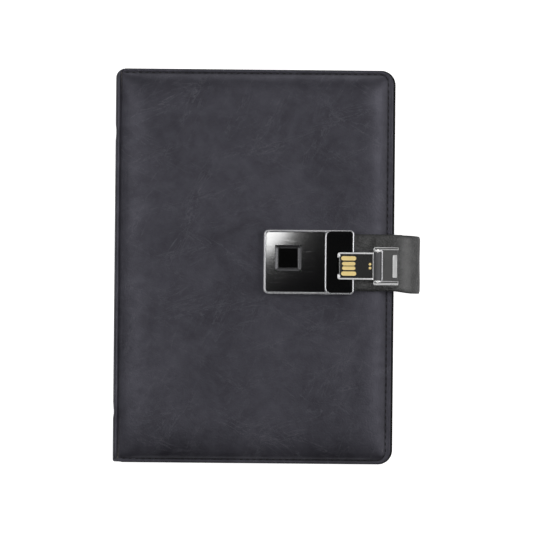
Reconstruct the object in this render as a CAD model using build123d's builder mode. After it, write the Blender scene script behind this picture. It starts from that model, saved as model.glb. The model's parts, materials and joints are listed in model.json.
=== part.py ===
from build123d import *
import os
from math import atan2, cos, degrees, radians, sqrt

# A padded ring-bound diary with a lock on its front cover and a strap round its fore-edge.
# It lies on its back cover. X runs from the spine to the fore-edge, Y from the tail to the head and
# Z upwards. The origin is the centre of the back cover's flat underside. All sizes are in millimetres.

os.makedirs("parts", exist_ok=True)

# ---- Driving dimensions: book ----
cover_width = 125.0
cover_height = 176.0
inner_space = 18.6
leather_thickness = 0.9
foam_thickness = 2.2
board_thickness = 2.0
lining_thickness = 0.8
flange_width = 3.3
corner_radius = 6.3
pad_edge_radius = 2.4
face_gap = 0.3

# ---- Driving dimensions: spine ----
hinge_radius = 2.5
spine_leather_thickness = 0.9
spine_board_thickness = 1.1
spine_lining_thickness = 0.6
spine_lining_inset = 1.5

# ---- Driving dimensions: strap ----
strap_width = 25.4
strap_y = 2.1
strap_thickness = 2.6
strap_standoff = 2.5
strap_bulge = 11.3
strap_tab_thickness = 1.2
strap_tab_length = 16.5
strap_joint_gap = 0.3

# ---- Driving dimensions: lock ----
lock_inset = 17.5
lock_length = 40.7
lock_width = 28.8
lock_y = 2.1
tray_height = 5.6
tray_floor = 1.0
rim_width = 0.85
ledge_width = 0.6
glass_thickness = 1.0
glass_drop = 0.3
glass_gap = 0.1
lock_left_radius = 2.3
lock_right_radius = 1.8
sensor_offset = 2.75
sensor_y = 3.9
bezel_size = 11.8
sensor_size = 8.7
block_length = 13.4
block_height = 7.2
block_radius = 3.0
trim_width = 0.6
screw_head_radius = 1.8
screw_head_height = 1.3
screw_radius = 0.95
screw_clearance = 0.15
screw_reach = 3.6
screw_left_inset = 8.2
screw_right_inset = 4.0
screw_half_spread = 11.2
circuit_thickness = 0.6
circuit_lift = 0.3
solenoid_length = 7.9
solenoid_width = 7.2
solenoid_height = 2.2
solenoid_wall = 0.6
plunger_radius = 0.65
plunger_clearance = 0.05
bolt_travel = 2.0
bolt_width = 6.0
bolt_web = 1.2
bolt_tongue_thickness = 0.55
bolt_clearance = 0.1

# ---- Driving dimensions: battery housing ----
pillar_proud = 0.1
housing_width = 26.4
housing_depth = 5.0
housing_wall = 1.0
housing_radius = 2.5
pillar_radius = 2.3
battery_end_gap = 0.95
battery_width = 18.0
battery_thickness = 3.4
battery_radius = 1.2
connector_inset = 4.85
connector_length = 6.0
connector_width = 4.0
connector_clearance = 0.2

# ---- Driving dimensions: plug and its fitting ----
plug_y = 0.6
plug_width = 12.1
plug_length = 16.0
plug_thickness = 2.4
plug_rail = 0.7
plug_floor = 0.4
hook_length = 2.25
hook_thickness = 1.0
blade_setback = 1.0
blade_thickness = 1.0
blade_recess = 0.15
mouth_depth = 3.2
contact_thickness = 0.1
contact_setback = 0.65
contact_long = 6.7
contact_short = 5.9
contact_outer_y = 3.4
contact_inner_y = 1.0
contact_outer_width = 1.9
contact_inner_width = 1.6
dot_y = 0.85
dot_radius = 0.6
dot_inset = 1.4
knuckle_radius = 1.85
knuckle_half_width = 6.25
hinge_reach = 10.2
hinge_pin_radius = 0.6
hinge_pin_clearance = 0.05
ear_gap = 0.1
ear_thickness = 1.2
fitting_end_inset = 0.5
fitting_half_width = 8.45
fitting_floor = 0.4
rail_width = 1.4
rail_height = 1.6
plate_thickness = 0.8
bar_width = 1.95
bar_length = 10.2
bar_height = 0.7
bar_inset = 0.6
fitting_rivet_radius = 0.8
fitting_rivet_head = 1.4
channel_clearance = 0.2
knuckle_lift = 0.55

# ---- Driving dimensions: ring binder ----
ring_inset = 10.2
ring_headroom = 1.6
wire_radius = 1.1
ring_pitch = 19.05
ring_middle_gap = 50.8
ring_tip_gap = 0.05
plate_side_reach = 0.5
plate_end_inset = 7.0
plate_wall = 0.8
plate_side_height = 2.4
plate_crown_height = 3.2
blade_end_gap = 3.5
blade_side_gap = 0.2
blade_sheet = 0.8
blade_lift = 0.5
blade_split_gap = 0.05
ring_end_angle = 60.0
ring_slot_gap = 0.3
ring_slot_half = 1.35
rivet_y = 15.0
rivet_radius = 1.5
rivet_head_radius = 2.7
rivet_head_height = 0.5
rivet_clearance = 0.9
trigger_inset = 1.8
trigger_z = 1.1
trigger_pin_radius = 0.45
trigger_pin_clearance = 0.05
trigger_tab_half = 4.5
trigger_tab_reach = 4.5
trigger_tongue_half = 1.5
trigger_tongue_length = 3.6
trigger_tongue_thickness = 0.4
trigger_play = 0.05
trigger_sheet = 0.8
trigger_slot_reach = 1.3
trigger_slot_gap = 0.3

# ---- Driving dimensions: pages ----
page_end_inset = 4.0
page_fore_inset = 5.0
page_margin = 0.2
page_rise_near_rings = 4.8
page_headroom = 0.6
page_fan_start = 9.5
page_fan_end = 22.0
page_lower_thickness = 7.6
page_split_gap = 0.05
hole_inner_gap = 0.295
hole_outer_gap = 1.1

# ---- Worked out from the driving dimensions ----
pad_depth = leather_thickness + foam_thickness + board_thickness
cover_thickness = pad_depth + lining_thickness
total_thickness = 2 * cover_thickness + inner_space
x_spine = -cover_width / 2
x_fore = cover_width / 2
x_hinge = x_spine + hinge_radius
spine_thickness = spine_leather_thickness + spine_board_thickness + spine_lining_thickness
lip_left = x_spine + spine_thickness + face_gap
pad_left = x_hinge + hinge_radius + face_gap
z_low_hinge = hinge_radius
z_high_hinge = total_thickness - hinge_radius
back_plane = Plane.XY
front_plane = Plane(origin=(0, 0, total_thickness), x_dir=(1, 0, 0), z_dir=(0, 0, -1))
z_lining = cover_thickness
z_front_lining = total_thickness - cover_thickness

lock_right = x_fore - lock_inset
lock_left = lock_right - lock_length
block_left = lock_right - block_length
sensor_x = (lock_left + block_left) / 2 - sensor_offset
screw_left = lock_left + screw_left_inset
screw_right = lock_right - screw_right_inset
screw_span = screw_right - screw_left
housing_left = screw_left - pillar_radius
housing_length = screw_span + 2 * (pillar_radius - pillar_proud / 2)
battery_length = screw_span - 2 * (pillar_radius + battery_end_gap)
battery_x = (screw_left + screw_right) / 2
connector_x = block_left - connector_inset
z_lock = total_thickness
z_glass = z_lock + tray_height - glass_drop
z_under_glass = z_glass - glass_thickness
z_circuit = z_lock + tray_floor + circuit_lift
z_solenoid = z_circuit + circuit_thickness
z_plunger = z_solenoid + (solenoid_wall + solenoid_height) / 2

strap_bend_x = x_fore + strap_standoff
z_strap = total_thickness + face_gap
z_strap_top = z_strap + strap_thickness
strap_end_x = lock_right + face_gap
hinge_x = lock_right + hinge_reach
fitting_end_x = strap_bend_x - fitting_end_inset
z_hinge_axis = z_strap_top + fitting_floor + knuckle_lift + knuckle_radius
plug_bottom = z_hinge_axis - plug_thickness / 2
plug_top = z_hinge_axis + plug_thickness / 2
plug_right = hinge_x - knuckle_radius - ear_gap / 2
plug_left = plug_right - plug_length
z_blade_top = plug_top - blade_recess
z_blade_under = z_blade_top - blade_thickness
z_channel = plug_bottom - channel_clearance
z_block = z_lock + block_height
channel_left = plug_left - 2 * channel_clearance
channel_half = plug_width / 2 + channel_clearance
z_tongue = plug_bottom + plug_floor + bolt_clearance

ring_x = pad_left + ring_inset
ring_radius = (inner_space - ring_headroom - blade_lift - blade_sheet / 2 - wire_radius) / 2
z_ring = z_lining + blade_lift + blade_sheet / 2 + ring_radius
z_crown = z_lining + plate_crown_height
ring_slot_inner = (ring_radius - wire_radius) * cos(radians(ring_end_angle)) - 2 * ring_slot_gap
ring_slot_outer = sqrt((ring_radius + wire_radius) ** 2 - (z_ring - z_crown) ** 2) + ring_slot_gap
plate_half_width = ring_radius + plate_side_reach
plate_half_length = cover_height / 2 - plate_end_inset
blade_outer = plate_half_width - plate_wall - blade_side_gap
blade_half_length = plate_half_length - blade_end_gap
trigger_y = plate_half_length - trigger_inset
trigger_tab_end = plate_half_length + trigger_tab_reach
trigger_tongue_start = trigger_y - trigger_tongue_length
trigger_slot_start = trigger_y - trigger_slot_reach

page_height = cover_height - 2 * page_end_inset
page_right = x_fore - page_fore_inset
page_lift = plate_crown_height + page_margin
page_thicknesses = inner_space - housing_depth - page_split_gap - page_headroom
page_upper_thickness = page_thicknesses - page_lower_thickness
ring_depth_in_pages = z_ring - z_lining - page_lift
ring_inner_reach = sqrt((ring_radius - wire_radius) ** 2 - ring_depth_in_pages ** 2)
hole_inner = ring_inner_reach - hole_inner_gap
hole_outer = ring_radius + wire_radius + hole_outer_gap
hole_offset = (hole_inner + hole_outer) / 2
hole_radius = (hole_outer - hole_inner) / 2


def cover_outline(plane, left, inset):
    """A cover outline: square at the hinge, round at the fore-edge corners."""
    with BuildSketch(plane) as outline:
        right = x_fore - inset
        with Locations(((left + right) / 2, 0)):
            Rectangle(right - left, cover_height - 2 * inset)
        fillet(outline.vertices().sort_by(Axis.X)[-2:], corner_radius - inset)
    return outline.sketch


def cover_skin(plane):
    """A padded leather skin: a crowned pad, hollow inside, with a thin flange round it."""
    with BuildPart() as skin:
        extrude(cover_outline(plane, pad_left, flange_width), amount=pad_depth)
        outside = Axis(plane.origin, plane.z_dir)
        fillet(skin.faces().sort_by(outside)[0].edges(), pad_edge_radius)
        flange = cover_outline(plane.offset(pad_depth - leather_thickness), lip_left, 0)
        extrude(flange, amount=leather_thickness)
        hollow_left = pad_left + leather_thickness
        hollow = cover_outline(plane.offset(leather_thickness), hollow_left, flange_width + leather_thickness)
        extrude(hollow, amount=foam_thickness + board_thickness, mode=Mode.SUBTRACT)
    return skin.part


def cover_core(plane, depth, thickness):
    """A sheet that fills the skin's hollow from the given depth, such as its foam or its board."""
    inset = flange_width + leather_thickness
    with BuildPart() as core:
        extrude(cover_outline(plane.offset(depth), pad_left + leather_thickness, inset), amount=thickness)
    return core.part


def cover_lining(plane):
    """The lining sheet, which closes the cover on its inner side."""
    with BuildPart() as sheet:
        extrude(cover_outline(plane.offset(pad_depth), lip_left, 0), amount=lining_thickness)
    return sheet.part


# ---- Strap: a chain of leather lengths, seen in section in the XZ plane ----
strap_plane = Plane.XZ.offset(-strap_y)
z_tab = pad_depth - strap_tab_thickness / 2
strap_side_x = x_fore + strap_bulge - strap_thickness / 2
strap_rise = strap_side_x - strap_bend_x
z_strap_middle = z_strap + strap_thickness / 2
tab_start = (x_fore - strap_tab_length, z_tab)
bend_1 = (strap_bend_x, z_tab)
bend_2 = (strap_side_x, z_tab + strap_rise)
bend_3 = (strap_side_x, z_strap_middle - strap_rise)
bend_4 = (strap_bend_x, z_strap_middle)
strap_end = (strap_end_x, z_strap_middle)


def strap_bar(start, end, thickness, mode=Mode.ADD):
    """A straight bar from one point of the section to the next."""
    run = (end[0] - start[0], end[1] - start[1])
    middle = ((start[0] + end[0]) / 2, (start[1] + end[1]) / 2)
    slope = degrees(atan2(run[1], run[0]))
    with Locations(middle):
        Rectangle(sqrt(run[0] ** 2 + run[1] ** 2), thickness, rotation=slope, mode=mode)


def strap_length(before, start, end, rounded):
    """One leather length: hollow where it meets the length before it, round at its far end."""
    with BuildSketch(strap_plane) as section:
        strap_bar(start, end, strap_thickness)
        if rounded:
            with Locations(end):
                Circle(strap_thickness / 2)
        with Locations(start):
            Circle(strap_thickness / 2 + strap_joint_gap, mode=Mode.SUBTRACT)
        strap_bar(before, start, strap_thickness + 2 * strap_joint_gap, Mode.SUBTRACT)
    with BuildPart() as length:
        extrude(section.sketch, amount=strap_width / 2, both=True)
    return length.part


def strap_tab_slot():
    """Cuts the seat of the strap's tab into the part being built."""
    with BuildSketch(strap_plane) as slot:
        strap_bar(tab_start, (x_fore + strap_bulge, z_tab), strap_tab_thickness)
    extrude(slot.sketch, amount=strap_width / 2, both=True, mode=Mode.SUBTRACT)


# ---- Places of repeated features ----
ring_ys = [side * (ring_middle_gap / 2 + step * ring_pitch) for side in (-1, 1) for step in range(3)]
screw_spots = [(x, lock_y + side * screw_half_spread) for x in (screw_left, screw_right) for side in (-1, 1)]
binder_rivets = [(ring_x, side * rivet_y) for side in (-1, 1)]
connector_spot = (connector_x, plug_y)


def lock_passages():
    """Cuts the screw holes and the connector's hole through one layer of the front cover."""
    with BuildSketch(Plane.XY.offset(z_front_lining - housing_depth)) as holes:
        with Locations(*screw_spots):
            Circle(screw_radius + screw_clearance)
        with Locations(connector_spot):
            Rectangle(connector_length + 2 * connector_clearance, connector_width + 2 * connector_clearance)
    extrude(holes.sketch, amount=cover_thickness + housing_depth + tray_floor, mode=Mode.SUBTRACT)


# ---- Back cover ----
with BuildPart() as back_leather:
    add(cover_skin(back_plane))
    strap_tab_slot()
back_leather.part.label = "back_leather"
export_step(back_leather.part, "parts/back_leather.step")

with BuildPart() as back_foam:
    add(cover_core(back_plane, leather_thickness, foam_thickness))
    with BuildSketch(Plane.XY.offset(leather_thickness + foam_thickness)) as head_pockets:
        with Locations(*binder_rivets):
            Circle(rivet_head_radius)
    extrude(head_pockets.sketch, amount=-rivet_head_height, mode=Mode.SUBTRACT)
back_foam.part.label = "back_foam"
export_step(back_foam.part, "parts/back_foam.step")

with BuildPart() as back_board:
    add(cover_core(back_plane, leather_thickness + foam_thickness, board_thickness))
    strap_tab_slot()
    with Locations(*[(x, y, z_lining) for x, y in binder_rivets]):
        Hole(rivet_radius)
back_board.part.label = "back_board"
export_step(back_board.part, "parts/back_board.step")

with BuildPart() as back_lining:
    add(cover_lining(back_plane))
    with Locations(*[(x, y, z_lining) for x, y in binder_rivets]):
        Hole(rivet_radius)
back_lining.part.label = "back_lining"
export_step(back_lining.part, "parts/back_lining.step")

# ---- Spine ----
with BuildSketch(Plane.XZ) as spine_skin_section:
    with BuildLine():
        RadiusArc((x_hinge, 0), (x_spine, z_low_hinge), hinge_radius)
        Line((x_spine, z_low_hinge), (x_spine, z_high_hinge))
        RadiusArc((x_spine, z_high_hinge), (x_hinge, total_thickness), hinge_radius)
        inner_radius = hinge_radius - spine_leather_thickness
        inner_x = x_spine + spine_leather_thickness
        inner_top = total_thickness - spine_leather_thickness
        Line((x_hinge, total_thickness), (x_hinge, inner_top))
        RadiusArc((x_hinge, inner_top), (inner_x, z_high_hinge), -inner_radius)
        Line((inner_x, z_high_hinge), (inner_x, z_low_hinge))
        RadiusArc((inner_x, z_low_hinge), (x_hinge, spine_leather_thickness), -inner_radius)
        Line((x_hinge, spine_leather_thickness), (x_hinge, 0))
    make_face()
with BuildPart() as spine_leather:
    extrude(spine_skin_section.sketch, amount=cover_height / 2, both=True)
spine_leather.part.label = "spine_leather"
export_step(spine_leather.part, "parts/spine_leather.step")


def spine_sheet(outer_x, thickness, end_inset):
    """A flat sheet that stands between the spine's two hinge lines, short of the leather's ends."""
    with BuildPart() as sheet:
        with Locations((outer_x + thickness / 2, 0, total_thickness / 2)):
            Box(thickness, cover_height - 2 * end_inset, z_high_hinge - z_low_hinge)
    return sheet.part


with BuildPart() as spine_board:
    board_inset = flange_width + leather_thickness
    add(spine_sheet(x_spine + spine_leather_thickness, spine_board_thickness, board_inset))
spine_board.part.label = "spine_board"
export_step(spine_board.part, "parts/spine_board.step")

with BuildPart() as spine_lining:
    lining_x = x_spine + spine_leather_thickness + spine_board_thickness
    add(spine_sheet(lining_x, spine_lining_thickness, spine_lining_inset))
spine_lining.part.label = "spine_lining"
export_step(spine_lining.part, "parts/spine_lining.step")

# ---- Front cover ----
with BuildPart() as front_leather:
    add(cover_skin(front_plane))
    lock_passages()
front_leather.part.label = "front_leather"
export_step(front_leather.part, "parts/front_leather.step")

with BuildPart() as front_foam:
    add(cover_core(front_plane, leather_thickness, foam_thickness))
    lock_passages()
front_foam.part.label = "front_foam"
export_step(front_foam.part, "parts/front_foam.step")

with BuildPart() as front_board:
    add(cover_core(front_plane, leather_thickness + foam_thickness, board_thickness))
    lock_passages()
front_board.part.label = "front_board"
export_step(front_board.part, "parts/front_board.step")

with BuildPart() as front_lining:
    add(cover_lining(front_plane))
    lock_passages()
front_lining.part.label = "front_lining"
export_step(front_lining.part, "parts/front_lining.step")

# ---- Strap ----
with BuildSketch(strap_plane) as tab_section:
    strap_bar(tab_start, (x_fore + face_gap, z_tab), strap_tab_thickness)
    strap_bar((x_fore + face_gap, z_tab), bend_1, strap_thickness)
    with Locations(bend_1):
        Circle(strap_thickness / 2)
with BuildPart() as strap_tab:
    extrude(tab_section.sketch, amount=strap_width / 2, both=True)
strap_tab.part.label = "strap_tab"
export_step(strap_tab.part, "parts/strap_tab.step")

with BuildPart() as strap_lower:
    add(strap_length(tab_start, bend_1, bend_2, True))
strap_lower.part.label = "strap_lower"
export_step(strap_lower.part, "parts/strap_lower.step")

with BuildPart() as strap_side:
    add(strap_length(bend_1, bend_2, bend_3, True))
strap_side.part.label = "strap_side"
export_step(strap_side.part, "parts/strap_side.step")

with BuildPart() as strap_upper:
    add(strap_length(bend_2, bend_3, bend_4, True))
strap_upper.part.label = "strap_upper"
export_step(strap_upper.part, "parts/strap_upper.step")

fitting_rivet_x = hinge_x + knuckle_radius + ear_gap + 2 * fitting_rivet_head
fitting_rivet_spots = [(fitting_rivet_x, plug_y + side * fitting_half_width / 2) for side in (-1, 1)]
with BuildPart() as strap_top:
    add(strap_length(bend_3, bend_4, strap_end, False))
    with Locations(*[(x, y, z_strap_top) for x, y in fitting_rivet_spots]):
        Hole(fitting_rivet_radius)
strap_top.part.label = "strap_top"
export_step(strap_top.part, "parts/strap_top.step")

# ---- Strap fitting ----
z_fitting_floor = z_strap_top + fitting_floor
ear_inner = knuckle_half_width + ear_gap
ear_outer = ear_inner + ear_thickness
rail_start = hinge_x - knuckle_radius
with BuildPart() as fitting_base:
    with BuildSketch(Plane.XY.offset(z_strap_top)) as base_outline:
        with Locations(((rail_start + fitting_end_x) / 2, plug_y)):
            Rectangle(fitting_end_x - rail_start, 2 * fitting_half_width)
        fillet(base_outline.vertices(), rail_width / 2)
    extrude(base_outline.sketch, amount=rail_height)
    fillet(fitting_base.faces().sort_by(Axis.Z)[-1].edges(), rail_width / 5)
    with BuildSketch(Plane.XY.offset(z_fitting_floor)) as base_hollow:
        with Locations(((rail_start + fitting_end_x) / 2, plug_y)):
            Rectangle(2 * (fitting_end_x - rail_start), 2 * (fitting_half_width - rail_width))
    extrude(base_hollow.sketch, amount=rail_height, mode=Mode.SUBTRACT)
    with BuildSketch(Plane.XZ.offset(-plug_y)) as ear_section:
        with Locations((hinge_x, z_hinge_axis)):
            Circle(knuckle_radius)
        with Locations((hinge_x, (z_strap_top + z_hinge_axis) / 2)):
            Rectangle(2 * knuckle_radius, z_hinge_axis - z_strap_top)
        with Locations((hinge_x, z_hinge_axis)):
            Circle(hinge_pin_radius, mode=Mode.SUBTRACT)
    extrude(ear_section.sketch, amount=ear_outer, both=True)
    with Locations((hinge_x, plug_y, z_fitting_floor + 2 * knuckle_radius)):
        Box(4 * knuckle_radius, 2 * ear_inner, 4 * knuckle_radius, mode=Mode.SUBTRACT)
    with Locations(*[(x, y, z_fitting_floor) for x, y in fitting_rivet_spots]):
        Hole(fitting_rivet_radius)
fitting_base.part.label = "fitting_base"
export_step(fitting_base.part, "parts/fitting_base.step")

plate_left = hinge_x + knuckle_radius + ear_gap
with BuildPart() as fitting_plate:
    with BuildSketch(Plane.XY.offset(z_fitting_floor)) as plate_outline:
        with Locations(((plate_left + fitting_end_x) / 2, plug_y)):
            Rectangle(fitting_end_x - plate_left, 2 * (fitting_half_width - rail_width))
    extrude(plate_outline.sketch, amount=plate_thickness)
    with BuildSketch(Plane.XY.offset(z_fitting_floor)) as head_recess:
        with Locations(*fitting_rivet_spots):
            Circle(fitting_rivet_head)
    extrude(head_recess.sketch, amount=plate_thickness / 2, mode=Mode.SUBTRACT)
fitting_plate.part.label = "fitting_plate"
export_step(fitting_plate.part, "parts/fitting_plate.step")

with BuildPart() as fitting_bar:
    with BuildSketch(Plane.XY.offset(z_fitting_floor + plate_thickness)) as bar_outline:
        with Locations((fitting_end_x - bar_inset - bar_width / 2, plug_y)):
            Rectangle(bar_width, bar_length)
        fillet(bar_outline.vertices(), bar_width / 5)
    extrude(bar_outline.sketch, amount=bar_height)
    fillet(fitting_bar.faces().sort_by(Axis.Z)[-1].edges(), bar_height / 3)
fitting_bar.part.label = "fitting_bar"
export_step(fitting_bar.part, "parts/fitting_bar.step")

with BuildPart() as fitting_rivets:
    with BuildSketch(Plane.XY.offset(z_strap)) as rivet_shanks:
        with Locations(*fitting_rivet_spots):
            Circle(fitting_rivet_radius)
    extrude(rivet_shanks.sketch, amount=strap_thickness + fitting_floor)
    with BuildSketch(Plane.XY.offset(z_fitting_floor)) as rivet_heads:
        with Locations(*fitting_rivet_spots):
            Circle(fitting_rivet_head)
    extrude(rivet_heads.sketch, amount=plate_thickness / 2)
fitting_rivets.part.label = "fitting_rivets"
export_step(fitting_rivets.part, "parts/fitting_rivets.step")

with BuildPart() as hinge_pin:
    with BuildSketch(Plane.XZ.offset(-plug_y)) as pin_section:
        with Locations((hinge_x, z_hinge_axis)):
            Circle(hinge_pin_radius)
    extrude(pin_section.sketch, amount=ear_outer, both=True)
hinge_pin.part.label = "hinge_pin"
export_step(hinge_pin.part, "parts/hinge_pin.step")

# ---- Plug ----
plug_middle = (plug_left + plug_right) / 2
mouth_half = plug_width / 2 - hook_length
with BuildPart() as plug_frame:
    with BuildSketch(Plane.XY.offset(plug_bottom)) as frame_outline:
        with Locations((plug_middle, plug_y)):
            Rectangle(plug_length, plug_width)
        fillet(frame_outline.vertices().sort_by(Axis.X)[:2], plug_rail)
    extrude(frame_outline.sketch, amount=plug_thickness)
    with BuildSketch(Plane.XY.offset(plug_bottom + plug_floor)) as frame_hollow:
        with Locations(((plug_left + hook_thickness + plug_right + plug_rail) / 2, plug_y)):
            Rectangle(plug_length - hook_thickness + plug_rail, plug_width - 2 * plug_rail)
        with Locations((plug_left, plug_y)):
            Rectangle(4 * hook_thickness, 2 * mouth_half)
    extrude(frame_hollow.sketch, amount=plug_thickness, mode=Mode.SUBTRACT)
plug_frame.part.label = "plug_frame"
export_step(plug_frame.part, "parts/plug_frame.step")

blade_left = plug_left + blade_setback
blade_half = plug_width / 2 - plug_rail
with BuildPart() as plug_blade:
    with BuildSketch(Plane.XY.offset(z_blade_under)) as blade_outline:
        with Locations(((blade_left + plug_right) / 2, plug_y)):
            Rectangle(plug_right - blade_left, 2 * blade_half)
    extrude(blade_outline.sketch, amount=blade_thickness)
    with BuildSketch(Plane.XY.offset(plug_bottom + plug_floor)) as core_outline:
        with Locations(((plug_left + mouth_depth + plug_right) / 2, plug_y)):
            Rectangle(plug_right - plug_left - mouth_depth, 2 * blade_half)
    extrude(core_outline.sketch, amount=z_blade_under - plug_bottom - plug_floor)
plug_blade.part.label = "plug_blade"
export_step(plug_blade.part, "parts/plug_blade.step")

contact_left = blade_left + contact_setback
contact_middle = contact_left + contact_long / 2
with BuildPart() as plug_contacts:
    with BuildSketch(Plane.XY.offset(z_blade_top)) as contact_outline:
        with Locations(*[(contact_middle, plug_y + side * contact_outer_y) for side in (-1, 1)]):
            SlotOverall(contact_long, contact_outer_width)
        with Locations(*[(contact_middle, plug_y + side * contact_inner_y) for side in (-1, 1)]):
            SlotOverall(contact_short, contact_inner_width)
    extrude(contact_outline.sketch, amount=contact_thickness)
plug_contacts.part.label = "plug_contacts"
export_step(plug_contacts.part, "parts/plug_contacts.step")

with BuildPart() as plug_dots:
    with BuildSketch(Plane.XY.offset(z_blade_top)) as dot_outline:
        with Locations(*[(plug_right - dot_inset, plug_y + side * dot_y) for side in (-1, 1)]):
            Circle(dot_radius)
    extrude(dot_outline.sketch, amount=contact_thickness)
plug_dots.part.label = "plug_dots"
export_step(plug_dots.part, "parts/plug_dots.step")

with BuildPart() as plug_knuckle:
    with BuildSketch(Plane.XZ.offset(-plug_y)) as knuckle_section:
        with Locations((hinge_x, z_hinge_axis)):
            Circle(knuckle_radius)
        with Locations(((plug_right + hinge_x) / 2, z_hinge_axis)):
            Rectangle(hinge_x - plug_right, plug_thickness)
        with Locations((hinge_x, z_hinge_axis)):
            Circle(hinge_pin_radius + hinge_pin_clearance, mode=Mode.SUBTRACT)
    extrude(knuckle_section.sketch, amount=knuckle_half_width, both=True)
plug_knuckle.part.label = "plug_knuckle"
export_step(plug_knuckle.part, "parts/plug_knuckle.step")


# ---- Lock ----
def lock_outline(height, left, right, inset, left_radius, right_radius):
    """A rounded rectangle of the lock's width, set in all round, with its own end radii."""
    with BuildSketch(Plane.XY.offset(height)) as outline:
        with Locations(((left + right) / 2, lock_y)):
            Rectangle(right - left - 2 * inset, lock_width - 2 * inset)
        fillet(outline.vertices().sort_by(Axis.X)[:2], max(left_radius - inset, inset / 4))
        fillet(outline.vertices().sort_by(Axis.X)[-2:], max(right_radius - inset, inset / 4))
    return outline.sketch


def tray_shape(height, inset):
    """The lock tray's outline, set in all round."""
    return lock_outline(height, lock_left, lock_right, inset, lock_left_radius, lock_right_radius)


def plug_channel():
    """Cuts the channel for the plug, open above and at its right end."""
    with BuildSketch(Plane.XY.offset(z_channel)) as channel:
        channel_right = lock_right + face_gap
        with Locations(((channel_left + channel_right) / 2, plug_y)):
            Rectangle(channel_right - channel_left, 2 * channel_half)
    extrude(channel.sketch, amount=block_height, mode=Mode.SUBTRACT)


ledge_inset = rim_width + ledge_width
boss_radius = screw_radius + trim_width
with BuildPart() as lock_tray:
    extrude(tray_shape(z_lock, 0), amount=tray_height)
    fillet(lock_tray.faces().sort_by(Axis.Z)[-1].edges(), rim_width / 4)
    extrude(tray_shape(z_under_glass, rim_width), amount=tray_height, mode=Mode.SUBTRACT)
    extrude(tray_shape(z_lock + tray_floor, ledge_inset), amount=tray_height, mode=Mode.SUBTRACT)
    with BuildSketch(Plane.XY.offset(z_lock)) as boss_outline:
        with Locations(*screw_spots[:2]):
            Circle(boss_radius)
    extrude(boss_outline.sketch, amount=z_under_glass - z_lock)
    plug_channel()
    lock_passages()
    with BuildSketch(Plane.XY.offset(z_lock)) as pilot_holes:
        with Locations(*screw_spots):
            Circle(screw_radius)
    extrude(pilot_holes.sketch, amount=screw_reach, mode=Mode.SUBTRACT)
lock_tray.part.label = "lock_tray"
export_step(lock_tray.part, "parts/lock_tray.step")

fascia_inset = rim_width + glass_gap
with BuildPart() as lock_fascia:
    extrude(tray_shape(z_under_glass, fascia_inset), amount=glass_thickness)
    with Locations(((block_left + lock_right) / 2, lock_y, z_glass)):
        Box(block_length + 2 * glass_gap, lock_width, 4 * glass_thickness, mode=Mode.SUBTRACT)
    with Locations((sensor_x, sensor_y, z_glass)):
        Box(bezel_size, bezel_size, 4 * glass_thickness, mode=Mode.SUBTRACT)
lock_fascia.part.label = "lock_fascia"
export_step(lock_fascia.part, "parts/lock_fascia.step")

with BuildPart() as sensor_bezel:
    with BuildSketch(Plane.XY.offset(z_under_glass)) as bezel_outline:
        with Locations((sensor_x, sensor_y)):
            Rectangle(bezel_size, bezel_size)
    extrude(bezel_outline.sketch, amount=glass_thickness + glass_drop)
    chamfer(sensor_bezel.faces().sort_by(Axis.Z)[-1].edges(), glass_drop)
    with BuildSketch(Plane.XY.offset(z_under_glass)) as bezel_window:
        with Locations((sensor_x, sensor_y)):
            Rectangle(sensor_size, sensor_size)
    extrude(bezel_window.sketch, amount=2 * glass_thickness, mode=Mode.SUBTRACT)
sensor_bezel.part.label = "sensor_bezel"
export_step(sensor_bezel.part, "parts/sensor_bezel.step")

with BuildPart() as sensor_pad:
    with BuildSketch(Plane.XY.offset(z_solenoid)) as pad_outline:
        with Locations((sensor_x, sensor_y)):
            Rectangle(sensor_size, sensor_size)
    extrude(pad_outline.sketch, amount=z_glass - z_solenoid)
sensor_pad.part.label = "sensor_pad"
export_step(sensor_pad.part, "parts/sensor_pad.step")

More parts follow.
